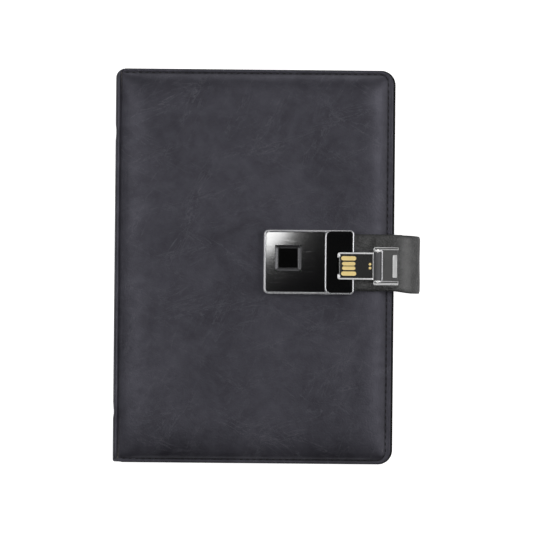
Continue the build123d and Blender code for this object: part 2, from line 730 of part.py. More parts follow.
# The block stands on the tray's floor, inside the rim, and its cap covers the rim.
cavity_left = block_left + face_gap
web_left = cavity_left + face_gap
tongue_right = channel_left - bolt_clearance
web_right = web_left + bolt_web
cavity_right = web_right + bolt_travel + face_gap
z_cavity = z_solenoid + face_gap
z_rim = z_lock + tray_height
cap_inset = trim_width
with BuildPart() as lock_block:
    extrude(tray_shape(z_lock + tray_floor, ledge_inset), amount=z_under_glass - z_lock - tray_floor)
    extrude(tray_shape(z_under_glass, fascia_inset), amount=z_rim - z_under_glass)
    with BuildSketch(Plane.XY.offset(z_lock)) as left_of_block:
        with Locations(((lock_left + block_left) / 2, lock_y)):
            Rectangle(block_left - lock_left, lock_width)
    extrude(left_of_block.sketch, amount=block_height, mode=Mode.SUBTRACT)
    extrude(lock_outline(z_rim, block_left, lock_right, cap_inset, block_radius, lock_right_radius),
            amount=z_block - z_rim)
    plug_channel()
    with BuildSketch(Plane.XY.offset(z_cavity)) as bolt_cavity:
        with Locations(((cavity_left + cavity_right) / 2, plug_y)):
            Rectangle(cavity_right - cavity_left, bolt_width + 2 * face_gap)
    extrude(bolt_cavity.sketch, amount=z_tongue + bolt_tongue_thickness + bolt_clearance - z_cavity,
            mode=Mode.SUBTRACT)
    with BuildSketch(Plane.XY.offset(z_tongue - bolt_clearance)) as bolt_slot:
        with Locations(((cavity_left + channel_left) / 2, plug_y)):
            Rectangle(channel_left - cavity_left, bolt_width + 2 * bolt_clearance)
    extrude(bolt_slot.sketch, amount=bolt_tongue_thickness + 2 * bolt_clearance, mode=Mode.SUBTRACT)
    with BuildSketch(Plane.YZ.offset(block_left)) as plunger_way:
        with Locations((plug_y, z_plunger)):
            Circle(plunger_radius + bolt_clearance)
    extrude(plunger_way.sketch, amount=face_gap, mode=Mode.SUBTRACT)
    with BuildSketch(Plane.XY.offset(z_lock)) as block_pilots:
        with Locations(*screw_spots[2:]):
            Circle(screw_radius)
    extrude(block_pilots.sketch, amount=screw_reach, mode=Mode.SUBTRACT)
lock_block.part.label = "lock_block"
export_step(lock_block.part, "parts/lock_block.step")

with BuildPart() as block_trim:
    extrude(lock_outline(z_rim, block_left, lock_right, 0, block_radius, lock_right_radius),
            amount=z_block - z_rim)
    fillet(block_trim.faces().sort_by(Axis.Z)[-1].edges(), trim_width / 3)
    extrude(lock_outline(z_rim, block_left, lock_right, cap_inset, block_radius, lock_right_radius),
            amount=z_block - z_rim, mode=Mode.SUBTRACT)
    plug_channel()
block_trim.part.label = "block_trim"
export_step(block_trim.part, "parts/block_trim.step")

solenoid_right = block_left - face_gap
solenoid_left = solenoid_right - solenoid_length
solenoid_middle = (solenoid_left + solenoid_right) / 2
circuit_inset = ledge_inset + face_gap
with BuildPart() as lock_circuit:
    extrude(tray_shape(z_circuit, circuit_inset), amount=circuit_thickness)
    with Locations(((block_left + lock_right) / 2, lock_y, z_circuit)):
        Box(block_length + 2 * face_gap, lock_width, 4 * circuit_thickness, mode=Mode.SUBTRACT)
    with BuildSketch(Plane.XY.offset(z_circuit)) as boss_holes:
        with Locations(*screw_spots[:2]):
            Circle(boss_radius + glass_gap)
    extrude(boss_holes.sketch, amount=circuit_thickness, mode=Mode.SUBTRACT)
lock_circuit.part.label = "lock_circuit"
export_step(lock_circuit.part, "parts/lock_circuit.step")

with BuildPart() as solenoid_frame:
    with Locations((solenoid_middle, plug_y, z_solenoid + solenoid_wall / 2)):
        Box(solenoid_length, solenoid_width, solenoid_wall)
    wall_centres = (solenoid_left + solenoid_wall / 2, solenoid_right - solenoid_wall / 2)
    with Locations(*[(x, plug_y, z_solenoid + solenoid_height / 2) for x in wall_centres]):
        Box(solenoid_wall, solenoid_width, solenoid_height)
    with BuildSketch(Plane.YZ.offset(solenoid_middle)) as frame_bore:
        with Locations((plug_y, z_plunger)):
            Circle(plunger_radius + plunger_clearance)
    extrude(frame_bore.sketch, amount=solenoid_length, mode=Mode.SUBTRACT)
solenoid_frame.part.label = "solenoid_frame"
export_step(solenoid_frame.part, "parts/solenoid_frame.step")

coil_left = solenoid_left + solenoid_wall
coil_right = solenoid_right - solenoid_wall
coil_bottom = z_solenoid + solenoid_wall
coil_top = z_solenoid + solenoid_height
plunger_left = coil_left + bolt_travel
with BuildPart() as solenoid_coil:
    with Locations(((coil_left + coil_right) / 2, plug_y, (coil_bottom + coil_top) / 2)):
        Box(coil_right - coil_left, solenoid_width - 2 * solenoid_wall, coil_top - coil_bottom)
    with BuildSketch(Plane.YZ.offset(plunger_left - face_gap)) as coil_bore:
        with Locations((plug_y, z_plunger)):
            Circle(plunger_radius + plunger_clearance)
    extrude(coil_bore.sketch, amount=solenoid_length, mode=Mode.SUBTRACT)
solenoid_coil.part.label = "solenoid_coil"
export_step(solenoid_coil.part, "parts/solenoid_coil.step")

z_web = z_cavity + bolt_clearance
with BuildPart() as lock_bolt:
    with Locations(((web_left + web_right) / 2, plug_y, (z_web + z_tongue + bolt_tongue_thickness) / 2)):
        Box(bolt_web, bolt_width, z_tongue + bolt_tongue_thickness - z_web)
    with Locations(((web_right + tongue_right) / 2, plug_y, z_tongue + bolt_tongue_thickness / 2)):
        Box(tongue_right - web_right, bolt_width, bolt_tongue_thickness)
    with BuildSketch(Plane.YZ.offset(plunger_left)) as plunger_section:
        with Locations((plug_y, z_plunger)):
            Circle(plunger_radius)
    extrude(plunger_section.sketch, amount=web_left - plunger_left)
lock_bolt.part.label = "lock_bolt"
export_step(lock_bolt.part, "parts/lock_bolt.step")

# ---- Battery housing, on the inner side of the front cover ----
z_housing = z_front_lining - housing_depth
z_battery = z_housing + housing_wall
housing_centre = (housing_left + housing_length / 2, lock_y)


def housing_outline(height, inset):
    """The battery housing's outline, set in all round."""
    with BuildSketch(Plane.XY.offset(height)) as outline:
        with Locations(housing_centre):
            RectangleRounded(housing_length - 2 * inset, housing_width - 2 * inset, housing_radius - inset)
    return outline.sketch


with BuildPart() as battery_housing:
    extrude(housing_outline(z_housing, 0), amount=housing_depth)
    fillet(battery_housing.faces().sort_by(Axis.Z)[0].edges(), housing_wall)
    extrude(housing_outline(z_battery, housing_wall), amount=housing_depth - housing_wall, mode=Mode.SUBTRACT)
    with BuildSketch(Plane.XY.offset(z_battery)) as pillar_outline:
        with Locations(*screw_spots):
            Circle(pillar_radius)
    extrude(pillar_outline.sketch, amount=housing_depth - housing_wall)
    with Locations(*[(x, y, z_front_lining) for x, y in screw_spots]):
        Hole(screw_radius + screw_clearance)
    with BuildSketch(Plane.XY.offset(z_housing)) as head_seats:
        with Locations(*screw_spots):
            Circle(screw_head_radius)
    extrude(head_seats.sketch, amount=screw_head_height, mode=Mode.SUBTRACT)
battery_housing.part.label = "battery_housing"
export_step(battery_housing.part, "parts/battery_housing.step")

battery_centre = (battery_x, lock_y)
with BuildPart() as battery:
    with BuildSketch(Plane.XY.offset(z_battery)) as battery_outline:
        with Locations(battery_centre):
            RectangleRounded(battery_length, battery_width, battery_radius)
    extrude(battery_outline.sketch, amount=battery_thickness)
battery.part.label = "battery"
export_step(battery.part, "parts/battery.step")

z_connector = z_battery + battery_thickness
with BuildPart() as power_connector:
    with BuildSketch(Plane.XY.offset(z_connector)) as connector_outline:
        with Locations(connector_spot):
            Rectangle(connector_length, connector_width)
    extrude(connector_outline.sketch, amount=z_circuit - z_connector)
power_connector.part.label = "power_connector"
export_step(power_connector.part, "parts/power_connector.step")

with BuildPart() as lock_screws:
    with BuildSketch(Plane.XY.offset(z_housing)) as screw_heads:
        with Locations(*screw_spots):
            Circle(screw_head_radius)
    extrude(screw_heads.sketch, amount=screw_head_height)
    with BuildSketch(Plane.XY.offset(z_housing)) as screw_shanks:
        with Locations(*screw_spots):
            Circle(screw_radius)
    extrude(screw_shanks.sketch, amount=z_lock + screw_reach - z_housing)
lock_screws.part.label = "lock_screws"
export_step(lock_screws.part, "parts/lock_screws.step")

# ---- Ring binder, riveted to the back board through the lining ----


def plate_section(half_width, side_height, crown_height):
    """A low arched section that stands on the lining."""
    with BuildSketch(Plane.XZ) as section:
        with BuildLine():
            left, right = ring_x - half_width, ring_x + half_width
            side_top, crown = z_lining + side_height, z_lining + crown_height
            ThreePointArc((left, side_top), (ring_x, crown), (right, side_top))
            Polyline((right, side_top), (right, z_lining), (left, z_lining), (left, side_top))
        make_face()
    return section.sketch


ring_slot_middle = (ring_slot_inner + ring_slot_outer) / 2
ring_slots = [(ring_x + side * ring_slot_middle, y, z_crown) for side in (-1, 1) for y in ring_ys]
with BuildPart() as ring_plate:
    extrude(plate_section(plate_half_width, plate_side_height, plate_crown_height), amount=plate_half_length,
            both=True)
    inner_half = plate_half_width - plate_wall
    inner_side = plate_side_height - plate_wall
    extrude(plate_section(inner_half, inner_side, plate_crown_height - plate_wall), amount=plate_half_length,
            both=True, mode=Mode.SUBTRACT)
    slot_depth = plate_crown_height - blade_lift - blade_sheet
    with Locations(*ring_slots):
        Box(ring_slot_outer - ring_slot_inner, 2 * ring_slot_half, 2 * slot_depth, mode=Mode.SUBTRACT)
    with Locations(*[(x, y, z_crown) for x, y in binder_rivets]):
        Hole(rivet_radius)
    trigger_slot_half = trigger_tab_half + trigger_slot_gap
    trigger_slot_middle = (trigger_slot_start + plate_half_length) / 2
    with Locations(*[(ring_x, side * trigger_slot_middle, z_lining) for side in (-1, 1)]):
        Box(2 * trigger_slot_half, plate_half_length - trigger_slot_start, 4 * plate_crown_height,
            mode=Mode.SUBTRACT)
    with BuildSketch(Plane.YZ.offset(ring_x)) as trigger_pin_holes:
        with Locations(*[(side * trigger_y, z_lining + trigger_z) for side in (-1, 1)]):
            Circle(trigger_pin_radius + trigger_pin_clearance)
    extrude(trigger_pin_holes.sketch, amount=2 * plate_half_width, both=True, mode=Mode.SUBTRACT)
ring_plate.part.label = "ring_plate"
export_step(ring_plate.part, "parts/ring_plate.step")

with BuildPart() as ring_rivets:
    with BuildSketch(Plane.XY.offset(leather_thickness + foam_thickness)) as binder_shanks:
        with Locations(*binder_rivets):
            Circle(rivet_radius)
    extrude(binder_shanks.sketch, amount=board_thickness + lining_thickness + plate_crown_height)
    with BuildSketch(Plane.XY.offset(leather_thickness + foam_thickness)) as binder_heads:
        with Locations(*binder_rivets):
            Circle(rivet_head_radius)
    extrude(binder_heads.sketch, amount=-rivet_head_height)
ring_rivets.part.label = "ring_rivets"
export_step(ring_rivets.part, "parts/ring_rivets.step")


def ring_blade(side):
    """One blade of the binder, on the given side, cut away round the rivets."""
    with BuildPart() as blade:
        z_middle = z_lining + blade_lift + blade_sheet / 2
        with Locations((ring_x + side * (blade_split_gap + blade_outer) / 2, 0, z_middle)):
            Box(blade_outer - blade_split_gap, 2 * blade_half_length, blade_sheet)
        with Locations(*[(x, y, z_middle) for x, y in binder_rivets]):
            Cylinder(rivet_radius + rivet_clearance, 2 * blade_sheet, mode=Mode.SUBTRACT)
    return blade.part


def half_rings(side):
    """The half rings on the given side: arcs of round wire that end on top of the blade."""
    z_blade = z_lining + blade_lift + blade_sheet
    with BuildPart() as halves:
        for y in ring_ys:
            ring_axis = Axis((ring_x, y, z_ring), (0, 1, 0))
            with BuildSketch(Plane.YZ.offset(ring_x + side * ring_tip_gap / 2)) as tip:
                with Locations((y, z_ring + ring_radius)):
                    Circle(wire_radius)
            revolve(tip.sketch, axis=ring_axis, revolution_arc=side * (90 + ring_end_angle))
        with Locations((ring_x, 0, z_blade - ring_radius / 2)):
            Box(4 * ring_radius, 2 * plate_half_length, ring_radius, mode=Mode.SUBTRACT)
    return halves.part


with BuildPart() as ring_blade_left:
    add(ring_blade(-1))
ring_blade_left.part.label = "ring_blade_left"
export_step(ring_blade_left.part, "parts/ring_blade_left.step")

with BuildPart() as ring_blade_right:
    add(ring_blade(1))
ring_blade_right.part.label = "ring_blade_right"
export_step(ring_blade_right.part, "parts/ring_blade_right.step")

with BuildPart() as ring_halves_left:
    add(half_rings(-1))
ring_halves_left.part.label = "ring_halves_left"
export_step(ring_halves_left.part, "parts/ring_halves_left.step")

with BuildPart() as ring_halves_right:
    add(half_rings(1))
ring_halves_right.part.label = "ring_halves_right"
export_step(ring_halves_right.part, "parts/ring_halves_right.step")


def ring_trigger(side):
    """An end lever of the binder: a tab outside, a tongue under the blades and a cross pin."""
    plane = Plane(origin=(ring_x, 0, z_lining), x_dir=(0, side, 0), z_dir=(side, 0, 0))
    tongue_low = trigger_play
    tongue_high = tongue_low + trigger_tongue_thickness
    hub_half = trigger_y - trigger_slot_start - trigger_slot_gap
    with BuildPart() as trigger:
        with BuildSketch(plane) as tongue:
            with Locations(((trigger_tongue_start + trigger_y) / 2, (tongue_low + tongue_high) / 2)):
                Rectangle(trigger_y - trigger_tongue_start, trigger_tongue_thickness)
        extrude(tongue.sketch, amount=trigger_tongue_half, both=True)
        with BuildSketch(plane) as tab:
            with BuildLine():
                Polyline(
                    (trigger_y - hub_half, tongue_low), (trigger_y, tongue_low),
                    (trigger_y + hub_half, trigger_z / 2), (trigger_tab_end, 2 * trigger_z),
                    (trigger_tab_end, 2 * trigger_z + trigger_sheet), (trigger_y, trigger_z + trigger_sheet),
                    (trigger_y - hub_half, tongue_high), (trigger_y - hub_half, tongue_low))
            make_face()
        extrude(tab.sketch, amount=trigger_tab_half, both=True)
        with BuildSketch(plane) as pin:
            with Locations((trigger_y, trigger_z)):
                Circle(trigger_pin_radius)
        extrude(pin.sketch, amount=plate_half_width, both=True)
    return trigger.part


with BuildPart() as ring_trigger_head:
    add(ring_trigger(1))
ring_trigger_head.part.label = "ring_trigger_head"
export_step(ring_trigger_head.part, "parts/ring_trigger_head.step")

with BuildPart() as ring_trigger_tail:
    add(ring_trigger(-1))
ring_trigger_tail.part.label = "ring_trigger_tail"
export_step(ring_trigger_tail.part, "parts/ring_trigger_tail.step")

# ---- Pages: a stack that lies on the lining and rises near the rings to pass over the plate ----
page_left = ring_x + page_margin
fan_start = ring_x + page_fan_start
fan_end = ring_x + page_fan_end
z_pages_low = z_lining + page_lift
z_pages_high = z_ring + page_rise_near_rings
z_pages_middle = z_lining + page_lower_thickness
hole_spots = [(ring_x + hole_offset, y, z_ring) for y in ring_ys]


def page_stack(low_near, low_far, high_near, high_far):
    """A stack of punched sheets between a lower and an upper surface, each with two levels."""
    with BuildSketch(Plane.XZ) as section:
        with BuildLine():
            Polyline(
                (page_left, low_near), (fan_start, low_near), (fan_end, low_far), (page_right, low_far),
                (page_right, high_far), (fan_end, high_far), (fan_start, high_near), (page_left, high_near),
                (page_left, low_near))
        make_face()
    with BuildPart() as stack:
        extrude(section.sketch, amount=page_height / 2, both=True)
        with Locations(*hole_spots):
            Cylinder(hole_radius, 4 * ring_radius, mode=Mode.SUBTRACT)
    return stack.part


with BuildPart() as pages_lower:
    add(page_stack(z_pages_low, z_lining, z_ring - page_split_gap, z_pages_middle))
pages_lower.part.label = "pages_lower"
export_step(pages_lower.part, "parts/pages_lower.step")

with BuildPart() as pages_upper:
    z_upper = z_pages_middle + page_split_gap
    add(page_stack(z_ring, z_upper, z_pages_high, z_upper + page_upper_thickness))
pages_upper.part.label = "pages_upper"
export_step(pages_upper.part, "parts/pages_upper.step")
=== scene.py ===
"""A padded ring-bound diary with an electronic lock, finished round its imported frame."""

import json
import logging
import math
from dataclasses import dataclass
from enum import Enum
from typing import Callable, Optional, Sequence

import bmesh
import bpy
from mathutils import Matrix, Vector, noise

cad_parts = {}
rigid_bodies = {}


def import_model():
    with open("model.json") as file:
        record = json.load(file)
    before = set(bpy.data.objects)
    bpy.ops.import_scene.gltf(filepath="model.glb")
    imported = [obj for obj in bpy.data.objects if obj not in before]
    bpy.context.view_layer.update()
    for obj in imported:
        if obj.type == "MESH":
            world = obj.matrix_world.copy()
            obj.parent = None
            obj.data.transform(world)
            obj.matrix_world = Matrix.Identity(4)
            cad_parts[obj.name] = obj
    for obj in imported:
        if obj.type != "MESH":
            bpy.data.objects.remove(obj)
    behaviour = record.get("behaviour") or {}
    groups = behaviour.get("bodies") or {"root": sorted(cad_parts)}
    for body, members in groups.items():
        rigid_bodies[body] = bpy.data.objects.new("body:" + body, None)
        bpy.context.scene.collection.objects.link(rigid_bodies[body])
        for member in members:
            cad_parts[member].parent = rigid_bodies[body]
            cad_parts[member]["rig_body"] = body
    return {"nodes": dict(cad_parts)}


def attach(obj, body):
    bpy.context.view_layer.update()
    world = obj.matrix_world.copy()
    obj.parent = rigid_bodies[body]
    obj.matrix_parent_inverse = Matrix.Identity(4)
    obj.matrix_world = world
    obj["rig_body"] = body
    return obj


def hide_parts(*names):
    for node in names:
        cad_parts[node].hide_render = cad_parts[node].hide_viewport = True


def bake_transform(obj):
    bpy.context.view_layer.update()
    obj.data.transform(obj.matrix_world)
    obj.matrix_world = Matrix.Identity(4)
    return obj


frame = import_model()
log = logging.getLogger("diary")

MM = 0.001
# the mesh attribute for the strap's edge paint, which also lays painted shade along the rims of
# its top
EDGE_PAINT_AND_SHADE_ATTRIBUTE = "edge_paint"
# the mesh attribute that holds the strap's painted highlight
HIGHLIGHT_ATTRIBUTE = "rubbed_and_highlight"
SAME = 1e-6  # metres within which corners of loose triangles or of a wrapped grid are one
CLOSE = 2e-6  # metres within which corners that a cut or a narrow bevel leaves are one
ALONG = 0.9  # the least share of an axis in a direction that runs along it
LEVEL = 0.1  # the most rise in the direction of a level edge
SKIN = 0.01  # how far below a top face, in millimetres, its own edges are still found
Point = tuple[float, float, float]
Tone = tuple[float, float, float]
Curve = Sequence[tuple[float, float]]
Socket = bpy.types.NodeSocket
Feed = Socket | float | tuple[float, ...]


def along(curve: Curve, x: float) -> float:
    """Reads a curve of (x, value) points at x, with straight runs between the points.

    Args:
        curve: The points, in rising x.
        x: Where to read it.

    Returns:
        The value there, held level past either end.
    """
    if x <= curve[0][0]:
        return curve[0][1]
    for (x0, v0), (x1, v1) in zip(curve, curve[1:]):
        if x <= x1:
            return v0 + (v1 - v0) * (x - x0) / (x1 - x0)
    return curve[-1][1]


def eased(share: float) -> float:
    """A share from 0 to 1 that starts and ends gently."""
    share = max(0.0, min(1.0, share))
    return share * share * (3 - 2 * share)


# ---------------------------------------------------------------- workbench


class Bench:
    """One piece on the workbench, shaped in edit mode. Its sizes are given in millimetres."""

    def __init__(self, name: str) -> None:
        """Takes up the primitive that was just added and opens it for shaping."""
        self.piece = bpy.context.object
        self.piece.name = name
        self.piece.data.name = name
        bpy.ops.object.transform_apply(location=True, rotation=True, scale=True)
        self.open()

    @staticmethod
    def clear() -> None:
        """Leaves edit mode and selects nothing."""
        if bpy.context.mode != "OBJECT":
            bpy.ops.object.mode_set(mode="OBJECT")
        bpy.ops.object.select_all(action="DESELECT")

    def take_up(self) -> None:
        """Selects this piece alone, in object mode."""
        Bench.clear()
        self.piece.select_set(True)
        bpy.context.view_layer.objects.active = self.piece

    def open(self) -> None:
        """Goes into edit mode with nothing selected."""
        bpy.ops.object.mode_set(mode="EDIT")
        bpy.ops.mesh.select_mode(type="VERT")
        bpy.ops.mesh.select_all(action="DESELECT")

    @classmethod
    def block(cls, name: str, low: Point, high: Point) -> "Bench":
        """A box between two corners."""
        cls.clear()
        middle = [(a + b) / 2 * MM for a, b in zip(low, high)]
        bpy.ops.mesh.primitive_cube_add(size=1, location=middle)
        bpy.context.object.scale = [(b - a) * MM for a, b in zip(low, high)]
        return cls(name)

    @classmethod
    def lattice(
        cls, name: str, columns: int, rows: int, place: Callable[[int, int], Vector]
    ) -> "Bench":
        """A grid whose crossings are put in place one by one.

        Args:
            name: The piece's name.
            columns: How many faces it has across.
            rows: How many faces it has up.
            place: Where the crossing of a column's line and a row's line goes, in millimetres.

        Returns:
            The grid, open for the next step.
        """
        cls.clear()
        middle = (columns / 2 * MM, rows / 2 * MM, 0)
        bpy.ops.mesh.primitive_grid_add(
            x_subdivisions=columns, y_subdivisions=rows, size=1, location=middle
        )
        bpy.context.object.scale = (columns * MM, rows * MM, 1)
        return cls(name).reshape(lambda spot: place(round(spot.x), round(spot.y)))

    @classmethod
    def rod(
        cls, name: str, centre: Point, radius: float, length: float, turn: Point, sides: int
    ) -> "Bench":
        """A round rod, upright unless it is turned."""
        cls.clear()
        bpy.ops.mesh.primitive_cylinder_add(
            vertices=sides,
            radius=radius * MM,
            depth=length * MM,
            location=[v * MM for v in centre],
            rotation=turn,
        )
        return cls(name)

    @classmethod
    def node_copy(cls, name: str, node: str) -> "Bench":
        """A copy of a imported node, with its loose triangles merged into flat faces."""
        cls.clear()
        copy = bpy.data.objects.new(name, frame["nodes"][node].data.copy())
        bpy.context.scene.collection.objects.link(copy)
        copy.data.materials.clear()
        copy.select_set(True)
        bpy.context.view_layer.objects.active = copy
        bench = cls(name).everything()
        bpy.ops.mesh.remove_doubles(threshold=SAME)
        bpy.ops.mesh.dissolve_limited(angle_limit=math.radians(0.5))
        bpy.ops.mesh.select_all(action="DESELECT")
        return bench

    def pick(self, kind: str, test: Callable[[Vector, Vector], bool]) -> "Bench":
        """Selects by place.

        Args:
            kind: VERT, EDGE or FACE.
            test: Given a place in millimetres and a direction, says whether it is picked. The
                direction is a face's or a vertex's normal, or an edge's own direction.

        Returns:
            The bench, for the next step.
        """
        bpy.ops.mesh.select_mode(type=kind)
        bpy.ops.mesh.select_all(action="DESELECT")
        shape = bmesh.from_edit_mesh(self.piece.data)
        if kind == "VERT":
            for v in shape.verts:
                v.select = test(v.co / MM, v.normal)
        elif kind == "EDGE":
            for e in shape.edges:
                one, other = e.verts[0].co / MM, e.verts[1].co / MM
                e.select = test((one + other) / 2, (other - one).normalized())
        else:
            for f in shape.faces:
                f.select = test(f.calc_center_median() / MM, f.normal)
        shape.select_flush_mode()
        bmesh.update_edit_mesh(self.piece.data)
        return self

    def top(self) -> "Bench":
        """Selects the faces that look up."""
        return self.pick("FACE", lambda spot, way: way.z > ALONG)

    def rims(self, height: float) -> "Bench":
        """Selects the level edges at a height and above it."""
        return self.pick(
            "EDGE", lambda spot, way: spot.z > height - SKIN and abs(way.z) < LEVEL
        )

    def everything(self) -> "Bench":
        """Selects the whole piece."""
        bpy.ops.mesh.select_all(action="SELECT")
        return self

    def bevel(self, width: float, steps: int = 3, of: str = "EDGES") -> "Bench":
        """Rounds what is selected."""
        bpy.ops.mesh.bevel(
            offset=width * MM,
            offset_type="OFFSET",
            segments=steps,
            profile=0.5,
            affect=of,
            clamp_overlap=True,
        )
        return self

    def inset(self, width: float, rise: float = 0) -> "Bench":
        """Draws the selected faces in from their border and moves them along their normal."""
        bpy.ops.mesh.inset(thickness=width * MM, depth=rise * MM, use_even_offset=True)
        return self

    def extrude(self, rise: float) -> "Bench":
        """Draws what is selected straight up, or down."""
        bpy.ops.mesh.extrude_region_move(TRANSFORM_OT_translate={"value": (0, 0, rise * MM)})
        return self

    def subdivide(self, cuts: int) -> "Bench":
        """Cuts the selected edges into equal lengths."""
        bpy.ops.mesh.subdivide(number_cuts=cuts)
        return self

    def reshape(self, move: Callable[[Vector], Vector], picked_only: bool = False) -> "Bench":
        """Moves every vertex, or only those that are selected, by a rule in millimetres."""
        shape = bmesh.from_edit_mesh(self.piece.data)
        for v in shape.verts:
            if v.select or not picked_only:
                v.co = move(v.co / MM) * MM
        shape.normal_update()
        bmesh.update_edit_mesh(self.piece.data)
        return self

    def closed(self) -> "Bench":
        """Merges the seam of a grid that was wrapped into a tube, and fills its two ends."""
        self.everything()
        bpy.ops.mesh.remove_doubles(threshold=SAME)
        bpy.ops.mesh.select_mode(type="EDGE")
        bpy.ops.mesh.select_all(action="DESELECT")
        bpy.ops.mesh.select_non_manifold()
        bpy.ops.mesh.fill_holes(sides=0)
        return self

    def outward(self) -> "Bench":
        """Turns every face outwards."""
        self.everything()
        bpy.ops.mesh.normals_make_consistent(inside=False)
        if bmesh.from_edit_mesh(self.piece.data).calc_volume(signed=True) < 0:
            bpy.ops.mesh.flip_normals()
        return self

    def cleaned(self, gap: float = CLOSE) -> "Bench":
        """Merges corners that a cut or a narrow bevel left on top of each other."""
        self.everything()
        bpy.ops.mesh.remove_doubles(threshold=gap)
        bpy.ops.mesh.dissolve_degenerate(threshold=gap)
        bpy.ops.mesh.select_all(action="DESELECT")
        return self

    def apply(self, kind: str, **values: object) -> "Bench":
        """Adds a modifier with the given values and applies it."""
        bpy.ops.object.mode_set(mode="OBJECT")
        modifier = self.piece.modifiers.new(kind.title(), kind)
        for key, value in values.items():
            setattr(modifier, key, value)
        bpy.ops.object.modifier_apply(modifier=modifier.name)
        self.open()
        return self

    def combine(self, operation: str, tool: "Bench") -> "Bench":
        """Joins another piece's shape to this one, or takes it out, and throws it away."""
        self.take_up()
        self.apply("BOOLEAN", operation=operation, object=tool.piece, solver="EXACT")
        bpy.data.objects.remove(tool.piece)
        return self

    def cut(self, tool: "Bench") -> "Bench":
        """Takes another piece's shape out of this one."""
        return self.combine("DIFFERENCE", tool).cleaned()

    def soften(self, width: float, steps: int = 2, angle: float = 35) -> "Bench":
        """Rounds every sharp edge a little, as real edges are."""
        return self.apply(
            "BEVEL",
            width=width * MM,
            segments=steps,
            limit_method="ANGLE",
            angle_limit=math.radians(angle),
            use_clamp_overlap=True,
            miter_outer="MITER_ARC",
        ).cleaned()

    def finish(self, smooth: float = 40) -> bpy.types.Object:
        """Ends the shaping and shades the piece smooth up to an angle, with large faces flat.

        Args:
            smooth: The angle in degrees past which an edge stays sharp.

        Returns:
            The finished object, at the origin.
        """
        self.take_up()
        bpy.ops.object.shade_smooth_by_angle(angle=math.radians(smooth), keep_sharp_edges=True)
        weigh = self.piece.modifiers.new("Weigh", "WEIGHTED_NORMAL")
        weigh.keep_sharp = True
        bpy.ops.object.modifier_apply(modifier=weigh.name)
        self.piece.select_set(False)
        return self.piece


def joined(name: str, pieces: Sequence[bpy.types.Object]) -> bpy.types.Object:
    """Joins finished pieces into one object.

    Args:
        name: The joined object's name.
        pieces: The pieces, of which the first takes in the rest.

    Returns:
        The joined object.
    """
    Bench.clear()
    for piece in pieces:
        piece.select_set(True)
    bpy.context.view_layer.objects.active = pieces[0]
    bpy.ops.object.join()
    pieces[0].name = name
    pieces[0].data.name = name
    pieces[0].select_set(False)
    return pieces[0]


def copies(name: str, pattern: bpy.types.Object, places: Sequence[Matrix]) -> bpy.types.Object:
    """Copies a small pattern piece to many places, as one object, and throws the pattern away.

    Args:
        name: The new object's name.
        pattern: The piece to copy.
        places: Where each copy goes, in metres.

    Returns:
        One object with every copy in its mesh.
    """
    points, faces = [], []
    source = pattern.data
    for place in places:
        start = len(points)
        points.extend((place @ v.co)[:] for v in source.vertices)
        faces.extend(tuple(start + i for i in f.vertices) for f in source.polygons)
    mesh = bpy.data.meshes.new(name)
    mesh.from_pydata(points, [], faces)
    mesh.polygons.foreach_set("use_smooth", [True] * len(faces))
    mesh.update()
    obj = bpy.data.objects.new(name, mesh)
    bpy.context.scene.collection.objects.link(obj)
    bpy.data.objects.remove(pattern)
    return obj


@dataclass(frozen=True)
class Bend:
    """Soft material that bends between two bodies, from one place to another in millimetres."""

    one: str
    other: str
    start: Point
    end: Point


def hand_in(
    obj: bpy.types.Object, seat: "str | Bend", slot: str, finish: bpy.types.Material, *nodes: str
) -> None:
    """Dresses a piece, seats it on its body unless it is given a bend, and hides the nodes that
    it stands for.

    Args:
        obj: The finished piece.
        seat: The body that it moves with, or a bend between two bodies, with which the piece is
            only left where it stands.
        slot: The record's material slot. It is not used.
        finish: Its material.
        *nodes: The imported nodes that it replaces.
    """
    obj.data.materials.clear()
    obj.data.materials.append(finish)
    if isinstance(seat, Bend):
        start, end = ([v * MM for v in place] for place in (seat.start, seat.end))
        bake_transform(obj)
        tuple(start)
        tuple(end)
    else:
        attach(obj, seat)
    if nodes:
        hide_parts(*nodes)
    log.info("%s is seated on %s", obj.name, seat)


# ---------------------------------------------------------------- finishes


